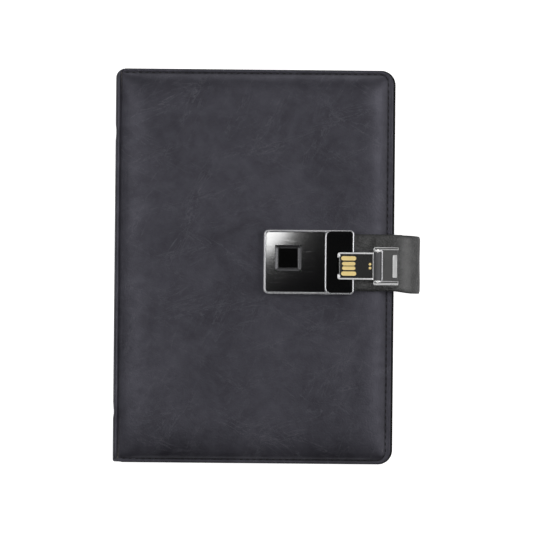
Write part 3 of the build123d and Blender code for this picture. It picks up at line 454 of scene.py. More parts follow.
class Wiring:
    """A shader node tree that is being wired up."""

    def __init__(self, tree: bpy.types.NodeTree) -> None:
        """Takes up the tree."""
        self.tree = tree

    def node(
        self, kind: str, feeds: Optional[dict[str | int, Feed]] = None, **settings: object
    ) -> bpy.types.Node:
        """Adds a node, sets it and feeds its inputs.

        Args:
            kind: The node's type, without its ShaderNode prefix.
            feeds: For each input, by name or number, a socket that feeds it or a value.
            **settings: The node's own settings.

        Returns:
            The node.
        """
        node = self.tree.nodes.new("ShaderNode" + kind)
        for key, value in settings.items():
            setattr(node, key, value)
        for key, value in (feeds or {}).items():
            if isinstance(value, Socket):
                self.tree.links.new(value, node.inputs[key])
            else:
                node.inputs[key].default_value = value
        return node

    def math(self, operation: str, first: Feed, second: Feed = 0.0) -> Socket:
        """Works one value out from another, or from two."""
        return self.node("Math", {0: first, 1: second}, operation=operation).outputs[0]

    def times(self, first: Feed, second: Feed) -> Socket:
        """Multiplies two values."""
        return self.math("MULTIPLY", first, second)

    def noise(self, place: Socket, scale: float, detail: float, **more: float) -> Socket:
        """Reads soft noise at a place. More sets its roughness and its distortion."""
        feeds = {"Vector": place, "Scale": scale, "Detail": detail}
        feeds.update((key.title(), value) for key, value in more.items())
        return self.node("TexNoise", feeds).outputs["Fac"]

    def mapped(self, place: Socket, kind: str = "POINT", **more: Point) -> Socket:
        """Moves, turns or stretches a place. More sets its location, rotation and scale."""
        feeds = {key.title(): value for key, value in more.items()}
        return self.node("Mapping", {"Vector": place, **feeds}, vector_type=kind).outputs[0]

    def remap(
        self, value: Socket, low: float, high: float, start: float = 0.0, end: float = 1.0
    ) -> Socket:
        """Stretches the run from start to end over the run from low to high."""
        feeds = {"From Min": start, "From Max": end, "To Min": low, "To Max": high}
        return self.node("MapRange", {"Value": value, **feeds}).outputs[0]

    def blend(self, share: Feed, low: Feed, high: Feed) -> Socket:
        """Mixes two colours by a share."""
        return self.node("Mix", {0: share, 6: low, 7: high}, data_type="RGBA").outputs[2]

    def between(self, share: Feed, low: Feed, high: Feed) -> Socket:
        """Mixes two values by a share."""
        return self.node("Mix", {0: share, 2: low, 3: high}, data_type="FLOAT").outputs[0]

    def curve(self, value: Socket, stops: Curve) -> Socket:
        """Reads a curve of (value, strength) stops, with the value from -1 to 1."""
        node = self.node("ValToRGB", {0: self.remap(value, 0.0, 1.0, -1.0, 1.0)})
        elements = node.color_ramp.elements
        while len(elements) < len(stops):
            elements.new(0.5)
        for element, (place, strength) in zip(elements, stops):
            element.position = (place + 1) / 2
            element.color = (strength, strength, strength, 1)
        return node.outputs[0]


class Effect(Wiring):
    """A shader node group with named inputs and outputs, built once for several finishes."""

    built: dict[str, bpy.types.NodeTree] = {}

    def __init__(self, name: str, inputs: dict[str, float], outputs: Sequence[str]) -> None:
        """Opens the group and makes its sockets, with a place input in object coordinates."""
        super().__init__(bpy.data.node_groups.new(name, "ShaderNodeTree"))
        face = self.tree.interface
        face.new_socket("Place", in_out="INPUT", socket_type="NodeSocketVector")
        for label, value in inputs.items():
            socket = face.new_socket(label, in_out="INPUT", socket_type="NodeSocketFloat")
            socket.default_value = value
        for label in outputs:
            face.new_socket(label, in_out="OUTPUT", socket_type="NodeSocketFloat")
        self.way_in = self.tree.nodes.new("NodeGroupInput")
        self.way_out = self.tree.nodes.new("NodeGroupOutput")
        Effect.built[name] = self.tree

    def taken(self, label: str) -> Socket:
        """What one input of the group carries."""
        return self.way_in.outputs[label]

    def give(self, label: str, socket: Socket) -> None:
        """Connects one output of the group."""
        self.tree.links.new(socket, self.way_out.inputs[label])


CREASE_RUNS: Curve = ((0.3, 0.0), (-0.5, 3.1), (1.1, 7.7))  # each run's slant and its shift
CREASE_STRETCH: Point = (3.0, 0.7, 1.0)
CREASE_DEPTH = 0.03
SCRATCH_SLANT: Point = (0.2, 0.1, 0.7)
SCRATCH_STRETCH: Point = (1.0, 22.0, 22.0)


def build_cloud_effect() -> None:
    """Cloudy depth of colour, as oil and handling leave it, with faint slanting creases."""
    effect = Effect("cloud_effect", {"Size": 1.0, "Creases": 0.5}, ["Cloud", "Crease"])
    feeds = {0: effect.taken("Place"), "Scale": effect.taken("Size")}
    scaled = effect.node("VectorMath", feeds, operation="SCALE").outputs[0]
    broad = effect.noise(scaled, 38, 7, roughness=0.62, distortion=0.6)
    fine = effect.noise(scaled, 210, 5, roughness=0.6, distortion=0.3)
    effect.give("Cloud", effect.remap(effect.between(0.34, broad, fine), 0, 1, 0.36, 0.66))
    runs = []
    for slant, shift in CREASE_RUNS:
        at, turn = (shift, shift, 0), (0, 0, slant)
        slanted = effect.mapped(
            scaled, "TEXTURE", location=at, rotation=turn, scale=CREASE_STRETCH
        )
        ridge = effect.noise(slanted, 165, 5, roughness=0.66, distortion=0.9)
        near = effect.math("ABSOLUTE", effect.math("SUBTRACT", ridge, 0.5))
        gate = effect.noise(slanted, 62, 5, roughness=0.7)
        shown = effect.remap(gate, 0, 1, 0.5, 0.68)
        runs.append(effect.times(effect.remap(near, 1, 0, 0, 0.02), shown))
    strongest = effect.math("MAXIMUM", effect.math("MAXIMUM", runs[0], runs[1]), runs[2])
    effect.give("Crease", effect.times(strongest, effect.taken("Creases")))


def build_grain_effect() -> None:
    """Leather grain: small rounded pebbles with pores between them."""
    effect = Effect("grain_effect", {"Pebbles": 1.0, "Pores": 0.4}, ["Height"])
    place = effect.taken("Place")
    wander = effect.node("TexNoise", {"Vector": place, "Scale": 900, "Detail": 2})
    feeds = {"Factor": 0.0012, "A": place, "B": wander.outputs["Color"]}
    nudged = effect.node("Mix", feeds, data_type="VECTOR").outputs[1]
    feeds = {"Vector": nudged, "Scale": 1150, "Smoothness": 0.7}
    pebble = effect.node("TexVoronoi", feeds, feature="SMOOTH_F1").outputs["Distance"]
    raised = effect.times(pebble, effect.taken("Pebbles"))
    pore = effect.noise(place, 3200, 3, roughness=0.6)
    pores = effect.times(pore, effect.taken("Pores"))
    effect.give("Height", effect.math("SUBTRACT", pores, raised))


def build_wear_effect() -> None:
    """Handling marks: rubbed edges, fine scratches, smudges and a little dust."""
    inputs = {"Edge": 0.5, "Scratches": 0.5, "Dust": 0.3}
    effect = Effect("wear_effect", inputs, ["Edge", "Scratch", "Smudge", "Dust"])
    place = effect.taken("Place")
    pointed = effect.node("NewGeometry").outputs["Pointiness"]
    rubbed_and_highlight = effect.times(effect.remap(pointed, 0, 1, 0.52, 0.62), effect.noise(place, 420, 4))
    effect.give("Edge", effect.times(rubbed_and_highlight, effect.taken("Edge")))
    stretched = effect.mapped(place, rotation=SCRATCH_SLANT, scale=SCRATCH_STRETCH)
    thin = effect.remap(effect.noise(stretched, 90, 2), 0, 1, 0.62, 0.7)
    effect.give("Scratch", effect.times(thin, effect.taken("Scratches")))
    effect.give("Smudge", effect.noise(place, 95, 5, distortion=1.2))
    speck = effect.node("TexVoronoi", {"Vector": place, "Scale": 620}).outputs["Distance"]
    effect.give("Dust", effect.times(effect.remap(speck, 1, 0, 0, 0.09), effect.taken("Dust")))


class Palette(Wiring):
    """A material being mixed: its tree, its Principled shader and its object coordinates."""

    def __init__(self, name: str) -> None:
        """Makes the material with an empty Principled shader."""
        self.material = bpy.data.materials.new(name)
        self.material.use_nodes = True
        super().__init__(self.material.node_tree)
        self.shader = self.tree.nodes["Principled BSDF"]
        self.place = self.node("TexCoord").outputs["Object"]

    def effect(self, name: str, **values: float) -> bpy.types.bpy_prop_collection:
        """Places an effect group with its own values, and returns its outputs."""
        group = self.tree.nodes.new("ShaderNodeGroup")
        group.node_tree = Effect.built[name]
        self.tree.links.new(self.place, group.inputs["Place"])
        for label, value in values.items():
            group.inputs[label].default_value = value
        return group.outputs

    def set(self, **values: object) -> None:
        """Sets constants straight on the shader's sockets. An underscore stands for a space."""
        for label, value in values.items():
            self.shader.inputs[label.replace("_", " ")].default_value = value

    def feed(self, label: str, socket: Socket) -> None:
        """Feeds a socket of the shader."""
        self.tree.links.new(socket, self.shader.inputs[label])

    def relief(self, socket: Socket, depth: float) -> None:
        """Raises a bump from a height socket, with the depth in millimetres."""
        before = self.shader.inputs["Normal"]
        bump = self.node("Bump", {"Height": socket, "Strength": 1.0, "Distance": depth * MM})
        if before.links:
            self.tree.links.new(before.links[0].from_socket, bump.inputs["Normal"])
        self.tree.links.new(bump.outputs[0], before)


def colour(red: float, green: float, blue: float) -> tuple[float, float, float, float]:
    """A colour from display values of 0 to 255."""

    def linear(value: float) -> float:
        """One channel, without the display's curve."""
        share = value / 255
        return ((share + 0.055) / 1.055) ** 2.4 if share > 0.04045 else share / 12.92

    return linear(red), linear(green), linear(blue), 1.0


# the painted highlight's colour: a lighter band where the strap's bend faces the side lamp
PAINTED_HIGHLIGHT_TONE: Tone = (148, 148, 148)
# the strap's dark edge paint, also used as painted shade along its rims
EDGE_PAINT_AND_SHADE_TONE: Tone = (6, 6, 6)
DUST: Tone = (120, 118, 114)
RULED_LINE: Tone = (120, 135, 160)
PLAIN_SHINE = (1.0, 1.0, 1.0, 1.0)
COOL_SHINE = (0.85, 0.84, 1.0, 1.0)


@dataclass(frozen=True)
class Leather:
    """Oiled leather with grain, cloudy colour and faint creases; a painted one also takes dark
    edge paint that is partly painted shade, and a painted highlight, both from its mesh.
    """

    name: str
    dark: Tone
    light: Tone
    crease: Tone
    creases: float
    roughness: float
    grain_depth: float = 0.05
    cloud_size: float = 1.0
    shine: float = 0.6
    tint: tuple[float, float, float, float] = COOL_SHINE
    painted: bool = False

    def make(self) -> bpy.types.Material:
        """Builds the material."""
        mix = Palette(self.name)
        cloud = mix.effect("cloud_effect", Size=self.cloud_size, Creases=self.creases)
        wear = mix.effect("wear_effect", Edge=0.35, Scratches=0.12, Dust=0.25)
        grain = mix.effect("grain_effect", Pebbles=1.0, Pores=0.35)
        base = mix.blend(cloud["Cloud"], colour(*self.dark), colour(*self.light))
        creased = mix.blend(cloud["Crease"], base, colour(*self.crease))
        worn_and_painted_light = mix.blend(wear["Edge"], creased, colour(*self.crease))
        if self.painted:
            # edge paint on the strap's sides, and painted shade on the outer row of its top
            edge = mix.node("Attribute", attribute_name=EDGE_PAINT_AND_SHADE_ATTRIBUTE).outputs["Fac"]
            # painted highlight: the strap is lightened in a band across its bend
            rubbed_and_highlight = mix.node("Attribute", attribute_name=HIGHLIGHT_ATTRIBUTE).outputs["Fac"]
            worn_and_painted_light = mix.blend(rubbed_and_highlight, worn_and_painted_light, colour(*PAINTED_HIGHLIGHT_TONE))
            worn_and_painted_light = mix.blend(edge, worn_and_painted_light, colour(*EDGE_PAINT_AND_SHADE_TONE))
        mix.feed("Base Color", worn_and_painted_light)
        rough = mix.remap(cloud["Cloud"], self.roughness + 0.05, self.roughness - 0.04)
        mix.feed("Roughness", rough)
        mix.set(Specular_IOR_Level=self.shine, Specular_Tint=self.tint)
        mix.relief(grain["Height"], self.grain_depth)
        mix.relief(cloud["Crease"], CREASE_DEPTH)
        return mix.material


@dataclass(frozen=True)
class Metal:
    """Plated or brushed metal with fine scratches and smudges."""

    name: str
    tone: Tone
    roughness: float
    scratches: float
    brushed: float = 0.0
    metallic: float = 1.0

    def make(self) -> bpy.types.Material:
        """Builds the material."""
        mix = Palette(self.name)
        wear = mix.effect("wear_effect", Edge=0.4, Scratches=self.scratches, Dust=0.1)
        tone = colour(*self.tone)
        dull = tuple(v * 0.72 for v in tone[:3]) + (1.0,)
        mix.feed("Base Color", mix.blend(mix.remap(wear["Smudge"], 0.0, 0.6), tone, dull))
        rough = mix.remap(wear["Smudge"], self.roughness * 0.75, self.roughness * 1.35)
        mix.feed("Roughness", rough)
        mix.set(Metallic=self.metallic)
        mix.relief(wear["Scratch"], 0.0015)
        if self.brushed:
            lines = mix.mapped(mix.place, scale=(1, 60, 1))
            mix.relief(mix.noise(lines, 160, 3), self.brushed)
        return mix.material


@dataclass(frozen=True)
class Plastic:
    """Moulded plastic, from matt to glossy, with a fine texture, dust and rubbed edges."""

    name: str
    tone: Tone
    rubbed_and_highlight: Tone
    roughness: float
    texture: float
    dust: float = 0.2
    shine: float = 0.5

    def make(self) -> bpy.types.Material:
        """Builds the material."""
        mix = Palette(self.name)
        wear = mix.effect("wear_effect", Edge=0.5, Scratches=0.25, Dust=self.dust)
        edged = mix.blend(wear["Edge"], colour(*self.tone), colour(*self.rubbed_and_highlight))
        mix.feed("Base Color", mix.blend(wear["Dust"], edged, colour(*DUST)))
        rough = mix.remap(wear["Smudge"], self.roughness * 0.85, self.roughness * 1.2)
        mix.feed("Roughness", rough)
        mix.set(Specular_IOR_Level=self.shine)
        mix.relief(mix.noise(mix.place, 2600, 3), self.texture)
        mix.relief(wear["Scratch"], 0.004)
        return mix.material


@dataclass(frozen=True)
class Weave:
    """A plain woven cloth with a slightly uneven thread."""

    name: str
    dark: Tone
    light: Tone
    pitch: float

    def make(self) -> bpy.types.Material:
        """Builds the material."""
        mix = Palette(self.name)
        waves = 0.32 / self.pitch / MM / math.pi
        feeds = {"Vector": mix.place, "Scale": waves, "Distortion": 0.6}
        feeds.update({"Detail": 2, "Detail Scale": 3})
        warp, weft = (
            mix.node("TexWave", feeds, bands_direction=axis).outputs["Fac"] for axis in "XY"
        )
        cross = mix.times(warp, weft)
        uneven = mix.effect("cloud_effect", Size=1.6, Creases=0.0)
        lit = mix.times(cross, uneven["Cloud"])
        mix.feed("Base Color", mix.blend(lit, colour(*self.dark), colour(*self.light)))
        mix.set(Roughness=0.85, Sheen_Weight=0.15)
        mix.relief(cross, 0.05)
        return mix.material


@dataclass(frozen=True)
class Fibre:
    """Paper, board or foam: a dull body with fibres or cells, and layers or lines on some."""

    name: str
    tone: Tone
    speck: Tone
    cell: float
    depth: float
    layers: float = 0.0
    ruled: float = 0.0

    def make(self) -> bpy.types.Material:
        """Builds the material."""
        mix = Palette(self.name)
        cells = mix.noise(mix.place, self.cell, 5, roughness=0.7)
        speck = colour(*self.speck)
        base = mix.blend(mix.remap(cells, 0.0, 0.55), colour(*self.tone), speck)
        normal = mix.node("TexCoord").outputs["Normal"]
        upright = mix.math("ABSOLUTE", mix.node("SeparateXYZ", {0: normal}).outputs["Z"])
        flat = mix.math("GREATER_THAN", upright, 0.8)
        spot = mix.node("SeparateXYZ", {0: mix.place}).outputs
        if self.layers:
            wave = mix.math("SINE", mix.times(spot["Z"], math.tau / (self.layers * MM)))
            line = mix.times(wave, mix.math("SUBTRACT", 1.0, flat))
            base = mix.blend(mix.times(line, 0.35), base, speck)
            mix.relief(line, 0.03)
        if self.ruled:
            rows = mix.math("PINGPONG", spot["Y"], self.ruled * MM)
            line = mix.times(mix.math("LESS_THAN", rows, 0.1 * MM), flat)
            base = mix.blend(mix.times(line, 0.45), base, colour(*RULED_LINE))
        mix.feed("Base Color", base)
        mix.set(Roughness=0.88, Specular_IOR_Level=0.25)
        mix.relief(cells, self.depth)
        return mix.material


class Finishes:
    """Every finish of the diary, made once."""

    def __init__(self) -> None:
        """Builds the effects first and then each material."""
        build_cloud_effect()
        build_grain_effect()
        build_wear_effect()
        self.cover = Leather(
            "cover_leather", (20, 19, 24), (52, 51, 57), (100, 99, 105), 0.36, 0.44
        ).make()
        self.strap = Leather(
            "strap_leather",
            (4, 4, 4),
            (66, 66, 66),
            (110, 110, 110),
            creases=0.35,
            roughness=0.42,
            grain_depth=0.25,
            cloud_size=4.6,
            shine=0.5,
            tint=PLAIN_SHINE,
            painted=True,
        ).make()
        # near-black and dull: the cover's edge band is also painted shade of its shaded side
        # edge
        self.edge_paint = Plastic(
            "edge_paint", (12, 12, 13), (24, 24, 26), 0.6, 0.0, 0.1, 0.1
        ).make()
        self.thread = Weave("stitch_thread", (12, 12, 14), (34, 34, 38), 0.25).make()
        self.lining = Weave("lining_cloth", (62, 60, 58), (112, 108, 102), 0.6).make()
        self.foam = Fibre("pad_foam", (212, 206, 190), (160, 152, 132), 1500, 0.06).make()
        self.board = Fibre("grey_board", (138, 134, 126), (98, 94, 88), 700, 0.03, 0.35).make()
        self.paper = Fibre(
            "page_paper", (238, 234, 222), (206, 200, 184), 1400, 0.008, 0.11, 7.0
        ).make()
        self.chrome = Metal("chrome_plate", (222, 222, 225), 0.22, 0.3).make()
        self.satin = Metal("satin_plate", (246, 246, 246), 0.26, 0.2, metallic=0.5).make()
        self.ring_steel = Metal("ring_nickel", (205, 204, 200), 0.2, 0.6).make()
        self.blade_steel = Metal("blade_steel", (168, 168, 168), 0.34, 0.8, 0.01).make()
        self.bar = Metal("bar_metal", (208, 208, 208), 0.38, 0.3, 0.01).make()
        self.plate = Metal("fitting_plate_metal", (94, 94, 94), 0.45, 0.3, 0.008).make()
        self.hinge = Metal("hinge_barrel_metal", (84, 84, 86), 0.5, 0.5, 0.006, 0.45).make()
        self.bezel = Metal("sensor_bezel_metal", (84, 84, 86), 0.26, 0.2, metallic=0.82).make()
        self.gold = Metal("gold_contact", (255, 228, 154), 0.5, 0.1, metallic=0.1).make()
        self.copper = Metal("copper_wire", (206, 122, 72), 0.3, 0.5, 0.03).make()
        self.glass = Plastic("black_glass", (3, 3, 4), (30, 30, 32), 0.062, 0.0, 0.0).make()
        self.sensor = Plastic("sensor_window", (2, 2, 2), (20, 20, 22), 0.08, 0.0, 0.04).make()
        self.block = Plastic("block_gloss", (5, 5, 6), (24, 24, 26), 0.1, 0.0, 0.06).make()
        self.plug = Plastic("plug_black", (14, 14, 13), (40, 40, 38), 0.26, 0.001, 0.05).make()
        self.housing = Plastic(
            "housing_black", (22, 22, 24), (60, 60, 62), 0.55, 0.03, 0.3
        ).make()
        self.wrap = Plastic("battery_wrap", (46, 92, 132), (150, 170, 190), 0.35, 0.01).make()
        self.circuit = Plastic(
            "circuit_green", (16, 84, 50), (140, 160, 120), 0.35, 0.02
        ).make()


# ---------------------------------------------------------------- covers


class Side(Enum):
    """Which of the two covers a piece belongs to."""

    FRONT = "front"
    BACK = "back"


@dataclass
class Book:
    """The sizes that the covers and the spine share, in millimetres."""

    thickness: float = 30.4
    half_height: float = 88.0
    fore: float = 62.5
    spine: float = -62.5
    groove: float = -59.5
    flange_top: float = 26.2
    corner: float = 6.3
    leather: float = 0.85
    roll_off: Curve = (
        (-0.1, 0.0), (0.15, 0.1), (0.6, 0.24), (1.2, 0.37), (2.0, 0.52), (3.2, 0.67),
        (4.8, 0.8), (6.8, 0.905), (9.0, 0.965), (11.4, 1.0),
    )
    hinge_rise: Curve = (
        (-59.6, 27.5), (-58.6, 27.95), (-57.6, 28.36), (-56.4, 28.8), (-55.0, 29.2),
        (-53.4, 29.57), (-51.6, 29.9), (-49.6, 30.17), (-47.4, 30.34), (-45.4, 30.4),
    )
    fore_trim: float = 0.74
    end_trim: float = 0.1
    fore_seam: float = 3.0
    end_seam: float = 1.66
    seam_radius: float = 4.1
    seam_depth: float = 0.24
    seam_width: float = 0.4
    edge_drop: float = 0.3
    edge_round: float = 0.45
    slack: float = 0.09
    tail_start: float = 2.0
    tail_stretch: float = 1.6
    head_end: float = 83.9
    head_pull: float = 4.2
    tail_end: float = 86.8
    tail_pull: float = 1.2
    end_turn: float = 0.985

    def depth_inside(self, x: float, y: float) -> float:
        """How far a place lies inside the cover's outline, but not counting the hinge side."""
        out_x = x - (self.fore - self.corner)
        out_y = abs(y) - (self.half_height - self.corner)
        if out_x > 0 and out_y > 0:
            return self.corner - math.hypot(out_x, out_y) - self.end_trim
        return min(self.fore - self.fore_trim - x, self.half_height - self.end_trim - abs(y))

    def inside_seam(self, x: float, y: float) -> tuple[float, float]:
        """How far a place lies inside the seam: from its fore-edge run, and overall."""
        deep_x = self.fore - self.fore_seam - x
        deep_y = self.half_height - self.end_seam - abs(y)
        radius = self.seam_radius
        if deep_x < radius and deep_y < radius:
            return deep_x, radius - math.hypot(radius - deep_x, radius - deep_y)
        return deep_x, min(deep_x, deep_y)

    def end_swell(self, y: float) -> float:
        """The padding's rise from the head or the tail. At the tail it takes a longer run."""
        deep = self.half_height - self.end_seam - abs(y)
        if y < 0 and deep > self.tail_start:
            deep = self.tail_start + (deep - self.tail_start) / self.tail_stretch
        return along(self.roll_off, deep)

    def swell(self, x: float, y: float) -> float:
        """How much of its full rise the padding has at a place, from 0 on the flange to 1."""
        deep_x, overall = self.inside_seam(x, y)
        crossed = along(self.roll_off, deep_x) * self.end_swell(y)
        return min(crossed, along(self.roll_off, overall))

    def height(self, x: float, y: float) -> float:
        """The leather's outer height on the front cover."""
        swell = self.swell(x, y)
        rise = swell * (along(self.hinge_rise, x) - self.flange_top)
        sunk = self.seam_depth * math.exp(-((self.inside_seam(x, y)[1] / self.seam_width) ** 2))
        out = 1 - min(1.0, max(0.0, self.depth_inside(x, y)) / self.edge_round)
        rounded = self.edge_drop * (1 - math.sqrt(1 - out * out))
        broad = noise.noise(Vector((x * 0.035, y * 0.035, 1.7)))
        fine = noise.noise(Vector((x * 0.09, y * 0.09, 5)))
        soft = self.slack * swell * (broad + 0.5 * fine + 0.9)
        return self.flange_top + rise - sunk - rounded - soft

    def spine_end(self, x: float, y: float) -> float:
        """Draws the spine's leather in at its ends, where it is turned round the board."""
        at_head = (self.head_end, self.head_pull)
        end, pull = at_head if y > 0 else (self.tail_end, self.tail_pull)
        root = self.spine + pull
        if x >= root or abs(y) <= end:
            return x
        share = min(1.0, (abs(y) - end) / (self.half_height - end))
        return root + (x - root) * math.sqrt(1 - share * share * self.end_turn)

    def outline(
        self, insets: tuple[float, float], radius: float, pitch: float, start: float
    ) -> list[Point]:
        """Evenly spaced places along the three sewn sides, from the hinge's head to its tail.

        Args:
            insets: How far the line runs inside the fore-edge and inside the two ends.
            radius: The radius at its corners.
            pitch: The distance between places.
            start: Where the line starts and ends in x.

        Returns:
            For each place its x and y and the direction of the line there, in radians.
        """
        right, top = self.fore - insets[0], self.half_height - insets[1]
        straight, quarter = right - radius - start, math.pi / 2 * radius
        total = 2 * (straight + quarter + top - radius)
        count = round(total / pitch)
        places = []
        for i in range(count):
            run = (i + 0.5) * total / count
            in_tail = run > total / 2
            run = min(run, total - run)
            if run < straight:
                x, y, angle = start + run, top, 0.0
            elif run < straight + quarter:
                angle = (straight - run) / radius
                x = right - radius - radius * math.sin(angle)
                y = top - radius + radius * math.cos(angle)
            else:
                x, y, angle = right, top - radius - (run - straight - quarter), -math.pi / 2
            places.append((x, -y, -math.pi - angle) if in_tail else (x, y, angle))
        return places


def spread(*stops: float, steps: Sequence[int]) -> list[float]:
    """Lines spread evenly between stops.

    Args:
        *stops: The stops, in rising order.
        steps: How many steps lie between each stop and the next.

    Returns:
        Every line, the stops among them.
    """
    lines = [stops[0]]
    for low, high, count in zip(stops, stops[1:], steps):
        lines.extend(low + (high - low) * (i + 1) / count for i in range(count))
    return lines


EDGE_LINES = (0.1, 0.24, 0.48)  # how far inside the trim the first grid lines lie
SEAM_LINES = (-0.7, -0.4, -0.2, 0.0, 0.22, 0.55, 1.0, 1.6, 2.4, 3.4, 4.7, 6.2, 8.0, 10.4)


def edge_steps(trim: float, seam: float) -> list[float]:
    """The depths of the grid lines beside a sewn edge, closest together at its seam.

    Args:
        trim: How far inside the outline the leather ends, where the painted edge begins.
        seam: How far inside the outline the seam runs.

    Returns:
        Each line's depth inside the outline.
    """
    return [trim] + [trim + d for d in EDGE_LINES] + [seam + d for d in SEAM_LINES]


@dataclass
class PaddedCover:
    """One cover's leather: a crowned pad with a sewn flange round three sides."""

    book: Book
    side: Side
    finishes: Finishes
    hinge_end: float = -47.4
    width_steps: tuple[int, int] = (16, 62)
    height_steps: tuple[int] = (50,)
    corner_lines: int = 30
    rounding: Curve = ((0.0, 6.1), (7.0, 4.1), (12.0, 3.6), (17.0, 0.01))
    foam_lines: int = 12
    foam_left: float = 4.0
    foam_floor: float = 27.35
    foam_least: float = 0.06
    foam_gap: float = 0.1
    stitch_pitch: float = 2.93
    stitch_size: Point = (0.92, 0.27, 0.22)
    stitch_tilt: float = 0.07
    stitch_start: float = 3.6
    lining_face: float = 24.48
    paint_start: float = 3.4
    # the edge band's section: its top reaches in over the leather so that its near-black shows
    # from above as painted shade
    paint_section: Curve = (
        (0.0, 24.55), (0.12, 24.9), (0.15, 25.3), (0.05, 25.66), (-0.25, 25.9), (-0.9, 25.84),
        (-0.9, 24.6),
    )

    @property
    def body(self) -> str:
        """The body that the cover moves with."""
        return f"{self.side.value}_cover"

    def place(self, spot: Vector) -> Vector:
        """Puts a place that is given for the front cover on this cover."""
        if self.side is Side.FRONT:
            return spot
        return Vector((spot.x, spot.y, self.book.thickness - spot.z))

    def laid_out(
        self, name: str, height: Callable[[float, float], float], skip: int = 0
    ) -> Bench:
        """A grid whose lines follow the cover's outline and gather at its sewn edge.

        Args:
            name: The piece's name.
            height: The height over each place.
            skip: How many of the outermost lines are left out.

        Returns:
            The shaped grid, open for the next step.
        """
        book = self.book
        fore = edge_steps(book.fore_trim, book.fore_seam)[skip:]
        ends = edge_steps(book.end_trim, book.end_seam)[skip:]
        left = book.groove + (self.foam_left if skip else 0)
        across = spread(left, self.hinge_end, book.fore - fore[-1], steps=self.width_steps)
        across += [book.fore - d for d in fore[-2::-1]]
        half = spread(0, book.half_height - ends[-1], steps=self.height_steps)
        half += [book.half_height - d for d in ends[-2::-1]]
        up = [-v for v in half[:0:-1]] + half
        columns, rows = len(across) - 1, len(up) - 1

        def settle(column: int, row: int) -> Vector:
            """Moves one crossing of the grid to its place on the cover."""
            x, y = across[column], up[row]
            ring = min(columns - column, row, rows - row)
            if ring < len(fore) - 1 and column > columns - self.corner_lines:
                radius = along(self.rounding, ring + skip)
                right, top = book.fore - fore[ring], book.half_height - ends[ring]
                on_side = columns - column == ring
                run = top - abs(y) if on_side else right - x
                if run < radius:
                    lean = -run / radius if on_side else run / radius
                    angle = math.pi / 4 * (1 + lean)
                    x = right - radius + radius * math.cos(angle)
                    y = math.copysign(top - radius + radius * math.sin(angle), y)
            return Vector((book.spine_end(x, y), y, height(x, y)))

        return Bench.lattice(name, columns, rows, settle)

    def leather(self) -> None:
        """The leather skin over the padding, thick enough to turn its edge."""
        bench = self.laid_out(f"{self.side.value}_cover_leather", self.book.height)
        bench.apply(
            "SOLIDIFY",
            thickness=self.book.leather * MM,
            offset=-1,
            use_even_offset=True,
            use_rim=True,
        )
        skin = bench.reshape(self.place).outward().finish(50)
        node = f"{self.side.value}_leather"
        hand_in(skin, self.body, "cover_leather", self.finishes.cover, node)

    def foam(self) -> None:
        """The foam under the leather, on the board."""
        floor, under = self.foam_floor, self.book.leather + self.foam_gap

        def top(x: float, y: float) -> float:
            """The foam's height, under the leather."""
            return max(floor + self.foam_least, self.book.height(x, y) - under)

        bench = self.laid_out(f"{self.side.value}_padding", top, self.foam_lines)
        bench.everything().extrude(-self.foam_least)
        bench.reshape(lambda spot: Vector((spot.x, spot.y, floor)), picked_only=True)
        pad = bench.reshape(self.place).outward().finish(60)
        hand_in(pad, self.body, "foam", self.finishes.foam, f"{self.side.value}_foam")

    def stitches(self) -> None:
        """The seam: one short thread after another, on the leather and again on the lining."""
        book = self.book
        Bench.clear()
        bpy.ops.mesh.primitive_uv_sphere_add(segments=8, ring_count=6, radius=1)
        pattern = bpy.context.object
        pattern.data.transform(Matrix.Diagonal((*(v * MM for v in self.stitch_size), 1)))
        places, tilt = [], self.stitch_tilt
        insets, start = (book.fore_seam, book.end_seam), book.spine + self.stitch_start
        for x, y, angle in book.outline(insets, book.seam_radius, self.stitch_pitch, start):
            for z, turn in ((book.height(x, y) + 0.1, tilt), (self.lining_face, -tilt)):
                spot = self.place(Vector((x, y, z))) * MM
                places.append(Matrix.Translation(spot) @ Matrix.Rotation(angle + turn, 4, "Z"))
        seam = copies(f"{self.side.value}_stitches", pattern, places)
        hand_in(seam, self.body, "cover_leather", self.finishes.thread)

    def painted_edge(self) -> None:
        """The painted edge that seals the leather and the lining together, near-black so that it
        is also painted shade of the cover's side edge.
        """
        book, section = self.book, self.paint_section
        turns = book.outline((0.0, 0.0), book.corner, 1.0, book.spine + self.paint_start)

        def settle(column: int, row: int) -> Vector:
            """Wraps the strip round the outline."""
            x, y, angle = turns[column]
            out, z = section[row % len(section)]
            return self.place(Vector((x - math.sin(angle) * out, y + math.cos(angle) * out, z)))

        name = f"{self.side.value}_edge_paint"
        edge = Bench.lattice(name, len(turns) - 1, len(section), settle).closed().outward()
        hand_in(edge.finish(60), self.body, "cover_leather", self.finishes.edge_paint)

    def make(self) -> None:
        """Builds the whole cover."""
        self.leather()
        self.foam()
        self.stitches()
        self.painted_edge()


def strip(
    name: str,
    section: Curve,
    lines: Sequence[float],
    thickness: float,
    place: Callable[[Vector], Vector],
) -> bpy.types.Object:
    """A length of leather or cloth that runs the height of the book, bent across its width.

    Args:
        name: The piece's name.
        section: The bend, as (x, height).
        lines: Where its lines lie along the book.
        thickness: How far it is thickened, inwards where it is more than 0.
        place: Moves each point from the bend at its line to its final place.

    Returns:
        The finished strip, closed all round.
    """

    def settle(column: int, row: int) -> Vector:
        """Puts one crossing of the grid on the bend at its line."""
        x, z = section[column]
        return place(Vector((x, lines[row], z)))

    bench = Bench.lattice(name, len(section) - 1, len(lines) - 1, settle)
    bench.apply(
        "SOLIDIFY",
        thickness=abs(thickness) * MM,
        offset=-1 if thickness > 0 else 1,
        use_even_offset=True,
        use_rim=True,
    )
    return bench.outward().finish(55)


